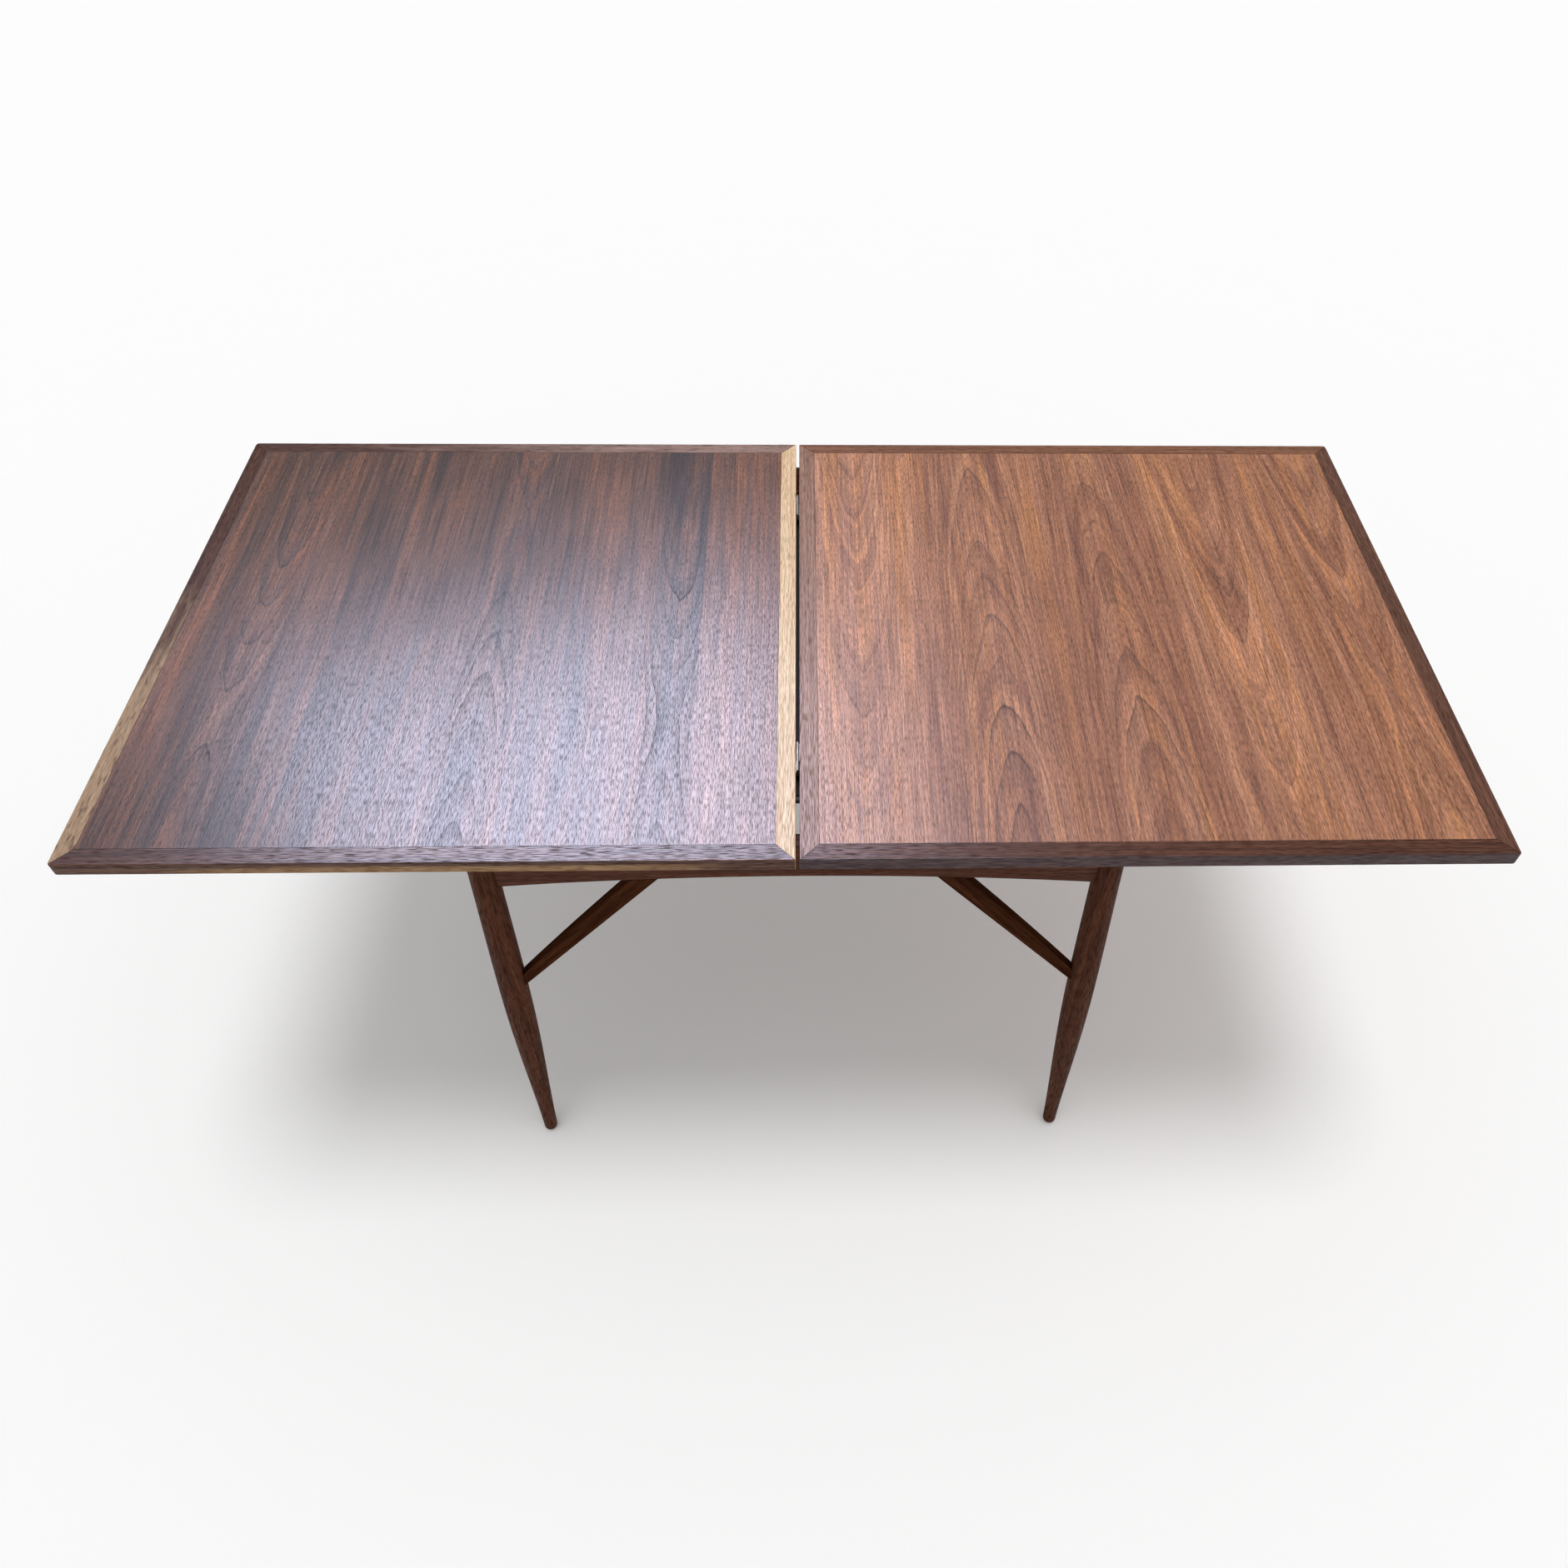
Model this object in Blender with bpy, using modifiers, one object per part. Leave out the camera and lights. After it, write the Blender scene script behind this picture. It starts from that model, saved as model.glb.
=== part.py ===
# Flip-top dining table in walnut, shown open.
# Two equal leaves lie side by side over a base as long as one leaf. The right-hand leaf slides
# along the base on steel bars, and the left-hand leaf folds over onto it on two knuckle hinges.
# Metres, +Z up, origin on the floor under the middle of the seam, +X along the open top.

import math

import bmesh
import bpy
from mathutils import Vector

# Top
TABLE_HEIGHT = 0.737
LEAF_LENGTH = 0.851
LEAF_WIDTH = 0.830
LEAF_THICKNESS = 0.019
SEAM_GAP = 0.005
LIPPING_WIDTH = 0.023
LIPPING_ROUND = 0.002
SEAM_ROUND = 0.0008
OUTER_CORNER_RADIUS = 0.005
SEAM_CORNER_RADIUS = 0.0015

# Clearances
FIT = 0.0003
SLIDE_FIT = 0.0005
RUNNING_FIT = 0.0001
BOARD_DROP = 0.001

# Legs and glides
LEG_INSET = 0.044
LEG_SPLAY = math.radians(1.8)
LEG_TOP_RADIUS = 0.0175
LEG_BELLY_RADIUS = 0.0195
LEG_BELLY_HEIGHT = 0.400
LEG_FOOT_RADIUS = 0.0100
LEG_FOOT_ROUND = 0.006
GLIDE_RADIUS = 0.0060
GLIDE_HEIGHT = 0.0020
GLIDE_ROUND = 0.0010

# Aprons and end rails
RAIL_THICKNESS = 0.019
RAIL_DEPTH = 0.078
RAIL_ARCH_RISE = 0.018
RAIL_ROUND = 0.0012
TENON_THICKNESS = 0.008
TENON_HEIGHT = 0.040
TENON_DROP = 0.014
TENON_SHORT_OF_AXIS = 0.0065

# Knee braces
BRACE_THICKNESS = 0.015
BRACE_LEG_DEPTH = 0.0145
BRACE_APRON_DEPTH = 0.0255
BRACE_LEG_HEIGHT = 0.4345
BRACE_APRON_REACH = 0.1875
BRACE_BOW = 0.002
BRACE_ROUND = 0.0015

# Inside the base
BLOCK_LEG = 0.055
BLOCK_THICKNESS = 0.025
BLOCK_DROP = 0.028
SLIDE_CHANNEL = 0.0615
BOARD_THICKNESS = 0.009
BAR_SIZE = 0.006
BAR_STAND_OFF = 0.0026
BAR_LUG_LENGTH = 0.012
BAR_LUG_SPACING = 0.120
CROSS_RAIL_THICKNESS = 0.020
CROSS_RAIL_DEPTH = 0.040
CROSS_RAIL_REACH = 0.190
CROSS_RAIL_STEP = 0.015
RUNNER_WALL = 0.016
RUNNER_LIP = 0.010
RUNNER_CLEARANCE = 0.001

# Hinges
HINGE_INSET = 0.160
HINGE_LENGTH = 0.047
FLIP_KNUCKLE_LENGTH = 0.018
KNUCKLE_RADIUS = 0.0016
PIN_RADIUS = 0.0008
PLATE_THICKNESS = 0.002
PLATE_TOP_DROP = 0.002
PLATE_NECK_DROP = 0.009
PLATE_BOTTOM_DROP = 0.016

# Facets
LEG_STEPS = 32
LEG_RINGS = 18
ARCH_STEPS = 20
BRACE_STEPS = 8
ROUND_STEPS = 20
ARRIS_SEGMENTS = 3
OVERRUN = 0.010

# Places worked out from the sizes above
UNDERSIDE = TABLE_HEIGHT - LEAF_THICKNESS
BASE_TOP = UNDERSIDE - FIT
SLIDE_TRAVEL = (LEAF_LENGTH + SEAM_GAP) / 2
LEG_X = LEAF_LENGTH / 2 - LEG_INSET
LEG_Y = LEAF_WIDTH / 2 - LEG_INSET
INSIDE_X = LEG_X - RAIL_THICKNESS / 2
INSIDE_Y = LEG_Y - RAIL_THICKNESS / 2
BOARD_TOP = BASE_TOP - BOARD_DROP
BOARD_HALF_WIDTH = INSIDE_Y - SLIDE_CHANNEL
BAR_INNER_Y = BOARD_HALF_WIDTH + BAR_STAND_OFF
BAR_OUTER_Y = BAR_INNER_Y + BAR_SIZE
RUNNER_LIP_TOP = BOARD_TOP - BAR_SIZE - SLIDE_FIT
RUNNER_BOTTOM = RUNNER_LIP_TOP - RUNNER_LIP
RUNNER_LENGTH = 2 * (INSIDE_X - SLIDE_FIT) - SLIDE_TRAVEL
PIVOT_RISE = FIT / 2
PIVOT_Z = TABLE_HEIGHT + PIVOT_RISE

SIDES = {"left": -1, "right": 1}
ENDS = {"front": -1, "back": 1}

WALNUT = ((0.100, 0.042, 0.024), 0.45, 0.0)
WALNUT_TOP = ((0.230, 0.105, 0.058), 0.40, 0.0)
SAPWOOD = ((0.480, 0.330, 0.200), 0.45, 0.0)
BEECH = ((0.420, 0.260, 0.140), 0.55, 0.0)
STAINED_BOARD = ((0.020, 0.014, 0.012), 0.70, 0.0)
STEEL = ((0.180, 0.175, 0.170), 0.40, 1.0)
NICKEL = ((0.420, 0.400, 0.370), 0.35, 1.0)


def clear_scene():
    for old in list(bpy.data.objects):
        bpy.data.objects.remove(old, do_unlink=True)


def new_collection(name):
    collection = bpy.data.collections.new(name)
    bpy.context.scene.collection.children.link(collection)
    return collection


def dress(obj, finish):
    colour, roughness, metallic = finish
    material = bpy.data.materials.new(obj.name)
    material.use_nodes = True
    shader = material.node_tree.nodes["Principled BSDF"]
    shader.inputs["Base Color"].default_value = (*colour, 1.0)
    shader.inputs["Roughness"].default_value = roughness
    shader.inputs["Metallic"].default_value = metallic
    obj.data.materials.append(material)


def as_cutter(obj):
    obj.hide_render = True
    obj.display_type = "WIRE"
    return obj


def new_object(name, mesh, collection):
    obj = bpy.data.objects.new(name, mesh)
    collection.objects.link(obj)
    return obj


def make_box(name, low, high, collection):
    mesh = bpy.data.meshes.new(name)
    size = Vector(high) - Vector(low)
    middle = (Vector(high) + Vector(low)) / 2
    shape = bmesh.new()
    bmesh.ops.create_cube(shape, size=1.0)
    bmesh.ops.scale(shape, vec=size, verts=shape.verts)
    bmesh.ops.translate(shape, vec=middle, verts=shape.verts)
    shape.to_mesh(mesh)
    shape.free()
    return new_object(name, mesh, collection)


# A closed outline, with any holes, as a flat plate of the given thickness about its own plane
def make_plate(name, outlines, thickness, collection):
    curve = bpy.data.curves.new(name, "CURVE")
    curve.dimensions = "2D"
    curve.fill_mode = "BOTH"
    curve.extrude = thickness / 2
    for outline in outlines:
        spline = curve.splines.new("POLY")
        spline.points.add(len(outline) - 1)
        for point, (across, up) in zip(spline.points, outline):
            point.co = (across, up, 0.0, 1.0)
        spline.use_cyclic_u = True
    drawn = new_object(name + "_outline", curve, collection)
    graph = bpy.context.evaluated_depsgraph_get()
    mesh = bpy.data.meshes.new_from_object(drawn.evaluated_get(graph))
    bpy.data.objects.remove(drawn, do_unlink=True)
    mesh.name = name
    shape = bmesh.new()
    shape.from_mesh(mesh)
    bmesh.ops.remove_doubles(shape, verts=shape.verts, dist=0.00001)
    bmesh.ops.recalc_face_normals(shape, faces=shape.faces)
    shape.to_mesh(mesh)
    shape.free()
    return new_object(name, mesh, collection)


# Plates are drawn flat and then stood up: across stays X, or becomes Y
def stand_along_x(obj, location, tilt=0.0):
    obj.location = location
    obj.rotation_euler = (math.pi / 2 + tilt, 0.0, 0.0)


def stand_along_y(obj, location):
    obj.location = location
    obj.rotation_euler = (math.pi / 2, 0.0, math.pi / 2)


def arc(centre, radius, start, end, steps):
    for step in range(steps + 1):
        angle = start + (end - start) * step / steps
        yield (centre[0] + radius * math.cos(angle), centre[1] + radius * math.sin(angle))


def circle(centre, radius):
    return list(arc(centre, radius, 0.0, 2 * math.pi, ROUND_STEPS))[:-1]


# Rounds the long edges between a flat face and a wall that faces one of the given ways
def round_arrises(obj, width, wall_ways, cap_way):
    shape = bmesh.new()
    shape.from_mesh(obj.data)
    for way in (cap_way, -cap_way):
        cap = [face for face in shape.faces if face.normal.dot(way) > 0.999]
        bmesh.ops.dissolve_faces(shape, faces=cap)
    ways = [Vector(way) for way in wall_ways]
    chosen = []
    for edge in shape.edges:
        if len(edge.link_faces) != 2:
            continue
        first, second = (face.normal for face in edge.link_faces)
        for cap, wall in ((first, second), (second, first)):
            on_wall = any(wall.dot(way) > 0.6 for way in ways)
            if abs(cap.dot(cap_way)) > 0.9 and on_wall:
                chosen.append(edge)
    bmesh.ops.bevel(
        shape, geom=chosen, offset=width, segments=ARRIS_SEGMENTS, profile=0.5,
        affect="EDGES", clamp_overlap=True)
    many_sided = [face for face in shape.faces if len(face.verts) > 4]
    bmesh.ops.triangulate(shape, faces=many_sided)
    shape.to_mesh(obj.data)
    shape.free()


def combine(obj, other, operation):
    modifier = obj.modifiers.new(other.name, "BOOLEAN")
    modifier.operation = operation
    modifier.solver = "EXACT"
    modifier.object = other


def cut(obj, *cutters):
    for cutter in cutters:
        combine(obj, cutter, "DIFFERENCE")


def smooth(obj, angle=30.0):
    obj.data.shade_smooth()
    obj.data.set_sharp_from_angle(angle=math.radians(angle))


# Radius of the turned leg at a height above the floor: thickest at the belly, where the brace
# meets it, a little slimmer at the top and drawn in to the foot
def leg_radius(height):
    if height >= LEG_BELLY_HEIGHT:
        rise = min((height - LEG_BELLY_HEIGHT) / (BASE_TOP - LEG_BELLY_HEIGHT), 1.0)
        swell = math.cos(rise * math.pi / 2) ** 2
        return LEG_TOP_RADIUS + (LEG_BELLY_RADIUS - LEG_TOP_RADIUS) * swell
    rise = max(height / LEG_BELLY_HEIGHT, 0.0)
    swell = math.sin(rise * math.pi / 2) ** 1.5
    return LEG_FOOT_RADIUS + (LEG_BELLY_RADIUS - LEG_FOOT_RADIUS) * swell


# The leg's profile hangs from the middle of its top, and runs past both ends to be trimmed
def leg_profile(grow):
    top = OVERRUN
    bottom = GLIDE_HEIGHT + FIT - BASE_TOP
    points = [(0.0, top)]
    for ring in range(LEG_RINGS + 1):
        drop = top + (bottom + LEG_FOOT_ROUND - top) * ring / LEG_RINGS
        points.append((leg_radius(BASE_TOP + drop) + grow, drop))
    foot_radius = points[-1][0]
    for step in (1, 2, 3):
        turn = step / 3 * math.pi / 2
        radius = foot_radius - LEG_FOOT_ROUND * (1 - math.cos(turn)) * 0.75
        points.append((radius, bottom + LEG_FOOT_ROUND * (1 - math.sin(turn))))
    sole = points[-1][0]
    points.append((sole, bottom - OVERRUN / 2))
    points.append((0.0, bottom - OVERRUN / 2))
    return points


def make_turned(name, points, steps, collection):
    mesh = bpy.data.meshes.new(name)
    shape = bmesh.new()
    ring = [shape.verts.new((radius, 0.0, height)) for radius, height in points]
    for above, below in zip(ring, ring[1:]):
        shape.edges.new((above, below))
    shape.to_mesh(mesh)
    shape.free()
    obj = new_object(name, mesh, collection)
    screw = obj.modifiers.new("turn", "SCREW")
    screw.steps = steps
    screw.render_steps = steps
    screw.use_merge_vertices = True
    screw.merge_threshold = 0.00001
    screw.use_smooth_shade = True
    return obj


def lean_leg(obj, side, end):
    lean = math.tan(LEG_SPLAY)
    upward = Vector((-side * lean, -end * lean, 1.0))
    obj.rotation_mode = "QUATERNION"
    obj.rotation_quaternion = Vector((0.0, 0.0, 1.0)).rotation_difference(upward)
    obj.location = (side * LEG_X, end * LEG_Y, BASE_TOP)


def foot_place(side, end):
    spread = math.tan(LEG_SPLAY) * BASE_TOP
    return (side * (LEG_X + spread), end * (LEG_Y + spread))


# The space a tenon fills in its leg; a mortise is the same with clearance all round
def tenon_box(name, along_x, side, end, clearance, collection):
    near = TENON_SHORT_OF_AXIS - clearance
    far = LEG_TOP_RADIUS + OVERRUN
    half = TENON_THICKNESS / 2 + clearance
    top = BASE_TOP - TENON_DROP + clearance
    bottom = BASE_TOP - TENON_DROP - TENON_HEIGHT - clearance
    if along_x:
        reach = sorted((side * (LEG_X - near), side * (LEG_X - far)))
        middle = end * LEG_Y
        low = (reach[0], middle - half, bottom)
        high = (reach[1], middle + half, top)
    else:
        reach = sorted((end * (LEG_Y - near), end * (LEG_Y - far)))
        middle = side * LEG_X
        low = (middle - half, reach[0], bottom)
        high = (middle + half, reach[1], top)
    return as_cutter(make_box(name, low, high, collection))


# Outline of an arched rail below the base's top line; drop lowers its lower edge
def rail_outline(half_length, drop=0.0):
    outline = [(half_length, 0.0), (-half_length, 0.0)]
    for step in range(ARCH_STEPS + 1):
        place = 2 * step / ARCH_STEPS - 1
        outline.append((half_length * place, -rail_depth(place) - drop))
    return outline


def rail_depth(place):
    return RAIL_DEPTH - RAIL_ARCH_RISE * (1 - place ** 2)


def apron_half_length():
    return LEG_X - TENON_SHORT_OF_AXIS


def end_rail_half_length():
    return LEG_Y - TENON_SHORT_OF_AXIS


def build_legs(parts, cutters):
    sockets = {}
    span = LEAF_LENGTH
    above = make_box("trim_above", (-span, -span, BASE_TOP), (span, span, TABLE_HEIGHT), cutters)
    below = make_box(
        "trim_below", (-span, -span, -OVERRUN), (span, span, GLIDE_HEIGHT + FIT), cutters)
    for end_name, end in ENDS.items():
        for side_name, side in SIDES.items():
            corner = f"{end_name}_{side_name}"
            leg = make_turned(f"leg_{corner}", leg_profile(0.0), LEG_STEPS, parts)
            lean_leg(leg, side, end)
            mortise_x = tenon_box(f"mortise_x_{corner}", True, side, end, FIT, cutters)
            mortise_y = tenon_box(f"mortise_y_{corner}", False, side, end, FIT, cutters)
            cut(leg, as_cutter(above), as_cutter(below), mortise_x, mortise_y)
            dress(leg, WALNUT)
            socket = make_turned(f"socket_{corner}", leg_profile(FIT), LEG_STEPS, cutters)
            lean_leg(as_cutter(socket), side, end)
            sockets[side, end] = socket
    return sockets


def build_glides(parts):
    shoulder = GLIDE_RADIUS - GLIDE_ROUND
    profile = [(0.0, GLIDE_HEIGHT), (GLIDE_RADIUS, GLIDE_HEIGHT)]
    profile += list(arc((shoulder, GLIDE_ROUND), GLIDE_ROUND, 0.0, -math.pi / 2, 3))
    profile.append((0.0, 0.0))
    for end_name, end in ENDS.items():
        for side_name, side in SIDES.items():
            glide = make_turned(f"glide_{end_name}_{side_name}", profile, ROUND_STEPS, parts)
            glide.location = (*foot_place(side, end), 0.0)
            dress(glide, STEEL)


def build_rails(parts, cutters, sockets):
    for end_name, end in ENDS.items():
        apron = make_plate(
            f"apron_{end_name}", [rail_outline(apron_half_length())], RAIL_THICKNESS, parts)
        round_arrises(apron, RAIL_ROUND, [(0, -1, 0)], Vector((0, 0, 1)))
        stand_along_x(apron, (0.0, end * LEG_Y, BASE_TOP))
        for side in SIDES.values():
            cut(apron, sockets[side, end])
            tenon = tenon_box(f"tenon_x_{end}_{side}", True, side, end, 0.0, cutters)
            combine(apron, tenon, "UNION")
        dress(apron, WALNUT)
    for side_name, side in SIDES.items():
        rail = make_plate(
            f"end_rail_{side_name}", [rail_outline(end_rail_half_length())], RAIL_THICKNESS, parts)
        round_arrises(rail, RAIL_ROUND, [(0, -1, 0)], Vector((0, 0, 1)))
        stand_along_y(rail, (side * LEG_X, 0.0, BASE_TOP))
        for end in ENDS.values():
            cut(rail, sockets[side, end])
            tenon = tenon_box(f"tenon_y_{end}_{side}", False, side, end, 0.0, cutters)
            combine(rail, tenon, "UNION")
        dress(rail, WALNUT)


# Across and up of a right-hand brace, from just inside the leg to just inside the apron
def brace_outline(side):
    place = BRACE_APRON_REACH / apron_half_length()
    apron_end = Vector((BRACE_APRON_REACH, -rail_depth(place)))
    leg_drop = BASE_TOP - BRACE_LEG_HEIGHT
    leg_axis = LEG_X + math.tan(LEG_SPLAY) * leg_drop
    leg_end = Vector((leg_axis - leg_radius(BRACE_LEG_HEIGHT), -leg_drop))
    along = (apron_end - leg_end).normalized()
    outward = Vector((along.y, -along.x))
    start = leg_end - along * LEG_TOP_RADIUS * 0.6
    finish = apron_end + along * RAIL_DEPTH * 0.4
    upper = [finish - outward * BRACE_APRON_DEPTH / 2, start - outward * BRACE_LEG_DEPTH / 2]
    lower = []
    for step in range(BRACE_STEPS + 1):
        t = step / BRACE_STEPS
        half = (BRACE_LEG_DEPTH + (BRACE_APRON_DEPTH - BRACE_LEG_DEPTH) * t) / 2
        lower.append(start.lerp(finish, t) + outward * (half + BRACE_BOW * 4 * t * (1 - t)))
    return [(side * point.x, point.y) for point in upper + lower]


def build_braces(parts, cutters, sockets):
    for end_name, end in ENDS.items():
        shadow = make_plate(
            f"apron_seat_{end_name}", [rail_outline(apron_half_length(), FIT)],
            RAIL_THICKNESS + OVERRUN, cutters)
        stand_along_x(as_cutter(shadow), (0.0, end * LEG_Y, BASE_TOP))
        for side_name, side in SIDES.items():
            brace = make_plate(
                f"brace_{end_name}_{side_name}", [brace_outline(side)], BRACE_THICKNESS, parts)
            ways = [(side * 0.7, 0.7, 0), (-side * 0.7, -0.7, 0)]
            round_arrises(brace, BRACE_ROUND, ways, Vector((0, 0, 1)))
            stand_along_x(brace, (0.0, end * LEG_Y, BASE_TOP), end * LEG_SPLAY)
            cut(brace, sockets[side, end], shadow)
            dress(brace, WALNUT)


def build_corner_blocks(parts, sockets):
    top = BASE_TOP - BLOCK_DROP
    for end_name, end in ENDS.items():
        for side_name, side in SIDES.items():
            x = INSIDE_X - FIT
            y = INSIDE_Y - FIT
            triangle = [(x, y), (x - BLOCK_LEG, y), (x, y - BLOCK_LEG)]
            outline = [(side * across, end * up) for across, up in triangle]
            block = make_plate(
                f"corner_block_{end_name}_{side_name}", [outline], BLOCK_THICKNESS, parts)
            block.location = (0.0, 0.0, top - BLOCK_THICKNESS / 2)
            cut(block, sockets[side, end])
            dress(block, BEECH)


def build_inner_frame(parts, cutters):
    board_bottom = BOARD_TOP - BOARD_THICKNESS
    half_board = BOARD_HALF_WIDTH
    inside = INSIDE_X - FIT
    board = make_box(
        "sub_top_board", (-inside, -half_board, board_bottom), (inside, half_board, BOARD_TOP), parts)
    dress(board, STAINED_BOARD)
    reach = INSIDE_Y - FIT
    step = half_board - CROSS_RAIL_STEP
    seat = board_bottom - FIT
    shoulder = RUNNER_BOTTOM - RUNNER_CLEARANCE
    half_outline = [(step, seat), (step, shoulder), (reach, shoulder), (reach, seat - CROSS_RAIL_DEPTH)]
    outline = half_outline + [(-across, up) for across, up in reversed(half_outline)]
    for side_name, side in SIDES.items():
        rail = make_plate(f"cross_rail_{side_name}", [outline], CROSS_RAIL_THICKNESS, parts)
        stand_along_y(rail, (side * CROSS_RAIL_REACH, 0.0, 0.0))
        dress(rail, BEECH)
    lug_count = int((inside - BAR_LUG_LENGTH) / BAR_LUG_SPACING + 0.5)
    for end_name, end in ENDS.items():
        ys = sorted((end * BAR_INNER_Y, end * BAR_OUTER_Y))
        bottom = BOARD_TOP - BAR_SIZE
        bar = make_box(
            f"slide_bar_{end_name}", (-inside, ys[0], bottom), (inside, ys[1], BOARD_TOP), parts)
        lug_ys = sorted((end * (half_board + FIT), end * (BAR_INNER_Y + BAR_SIZE / 2)))
        for side in SIDES.values():
            for number in range(lug_count):
                middle = side * (number + 0.5) * BAR_LUG_SPACING
                lug = make_box(
                    f"lug_{end_name}_{side}_{number}",
                    (middle - BAR_LUG_LENGTH / 2, lug_ys[0], bottom),
                    (middle + BAR_LUG_LENGTH / 2, lug_ys[1], BOARD_TOP), cutters)
                combine(bar, as_cutter(lug), "UNION")
        dress(bar, STEEL)


def build_runners(parts):
    wall = BAR_OUTER_Y + SLIDE_FIT
    outer = wall + RUNNER_WALL
    inner = BAR_INNER_Y + FIT
    top = UNDERSIDE - FIT
    middle = INSIDE_X - SLIDE_FIT - RUNNER_LENGTH / 2
    for end_name, end in ENDS.items():
        section = [
            (wall, top), (outer, top), (outer, RUNNER_BOTTOM), (inner, RUNNER_BOTTOM),
            (inner, RUNNER_LIP_TOP), (wall, RUNNER_LIP_TOP)]
        outline = [(end * across, up) for across, up in section]
        runner = make_plate(f"runner_{end_name}", [outline], RUNNER_LENGTH, parts)
        stand_along_y(runner, (middle, 0.0, 0.0))
        dress(runner, BEECH)


# One mitred lipping from corner to corner; its ends stand back from the mitres for the glue line
def lipping_outline(start, finish, inward, start_radius, finish_radius):
    start = Vector(start)
    finish = Vector(finish)
    inward = Vector(inward)
    along = (finish - start).normalized()
    set_back = along * FIT / math.sqrt(2)
    points = []
    for step in range(ARRIS_SEGMENTS + 1):
        turn = math.pi / 4 * (1 - step / ARRIS_SEGMENTS)
        centre = start + (along + inward) * start_radius + set_back
        points.append(centre - (inward * math.cos(turn) + along * math.sin(turn)) * start_radius)
    for step in range(ARRIS_SEGMENTS + 1):
        turn = math.pi / 4 * step / ARRIS_SEGMENTS
        centre = finish + (inward - along) * finish_radius - set_back
        points.append(centre - (inward * math.cos(turn) - along * math.sin(turn)) * finish_radius)
    points.append(finish + (inward - along) * LIPPING_WIDTH - set_back)
    points.append(start + (inward + along) * LIPPING_WIDTH + set_back)
    return [(point.x, point.y) for point in points]


def build_leaf(leaf, side, parts, cutters):
    seam = side * SEAM_GAP / 2
    outer = side * (SEAM_GAP / 2 + LEAF_LENGTH)
    edge = LEAF_WIDTH / 2
    middle = TABLE_HEIGHT - LEAF_THICKNESS / 2
    inset = LIPPING_WIDTH + FIT
    xs = sorted((seam + side * inset, outer - side * inset))
    panel = make_box(
        f"{leaf}_panel", (xs[0], -edge + inset, UNDERSIDE), (xs[1], edge - inset, TABLE_HEIGHT), parts)
    dress(panel, WALNUT_TOP)
    seam_r = SEAM_CORNER_RADIUS
    outer_r = OUTER_CORNER_RADIUS
    runs = {
        "front": ((seam, -edge), (outer, -edge), (0, 1), seam_r, outer_r, LIPPING_ROUND),
        "back": ((seam, edge), (outer, edge), (0, -1), seam_r, outer_r, LIPPING_ROUND),
        "outer": ((outer, -edge), (outer, edge), (-side, 0), outer_r, outer_r, LIPPING_ROUND),
        "seam": ((seam, -edge), (seam, edge), (side, 0), seam_r, seam_r, SEAM_ROUND)}
    for run, (start, finish, inward, start_r, finish_r, arris) in runs.items():
        outline = lipping_outline(start, finish, inward, start_r, finish_r)
        lipping = make_plate(f"{leaf}_lipping_{run}", [outline], LEAF_THICKNESS, parts)
        round_arrises(lipping, arris, [(-inward[0], -inward[1], 0)], Vector((0, 0, 1)))
        lipping.location = (0.0, 0.0, middle)
        smooth(lipping)
        if run == "seam":
            cut(lipping, *hinge_mortises(leaf, side, cutters))
        dress(lipping, SAPWOOD if (leaf, run) == ("flip_leaf", "seam") else WALNUT_TOP)


# Distance from the middle of the table to a hinge's inner end, the split between its knuckles,
# and its outer end
def hinge_reach():
    outermost = LEAF_WIDTH / 2 - HINGE_INSET + HINGE_LENGTH / 2
    return outermost - HINGE_LENGTH, outermost - FLIP_KNUCKLE_LENGTH, outermost


def hinge_mortises(leaf, side, cutters):
    inner, _, outermost = hinge_reach()
    face = SEAM_GAP / 2
    xs = sorted((side * (face - SEAM_GAP / 4), side * (face + PLATE_THICKNESS + FIT)))
    for end_name, end in ENDS.items():
        ys = sorted((end * (inner - FIT), end * (outermost + FIT)))
        low = (xs[0], ys[0], TABLE_HEIGHT - PLATE_BOTTOM_DROP - FIT)
        high = (xs[1], ys[1], TABLE_HEIGHT - PLATE_TOP_DROP + FIT)
        yield as_cutter(make_box(f"mortise_{leaf}_{end_name}", low, high, cutters))


# Section of a hinge plate with its neck and knuckle, on the right-hand side of the seam
def knuckle_section(side):
    face = SEAM_GAP / 2
    back = face + PLATE_THICKNESS
    section = list(arc((0.0, PIVOT_RISE), KNUCKLE_RADIUS, math.pi, 0.0, ROUND_STEPS // 2))
    section += [
        (KNUCKLE_RADIUS, -PLATE_TOP_DROP), (back, -PLATE_TOP_DROP),
        (back, -PLATE_BOTTOM_DROP), (face, -PLATE_BOTTOM_DROP), (face, -PLATE_NECK_DROP),
        (-KNUCKLE_RADIUS, -PLATE_NECK_DROP)]
    bore = circle((0.0, PIVOT_RISE), PIN_RADIUS + RUNNING_FIT)
    return [[(side * across, up) for across, up in outline] for outline in (section, bore)]


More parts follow.
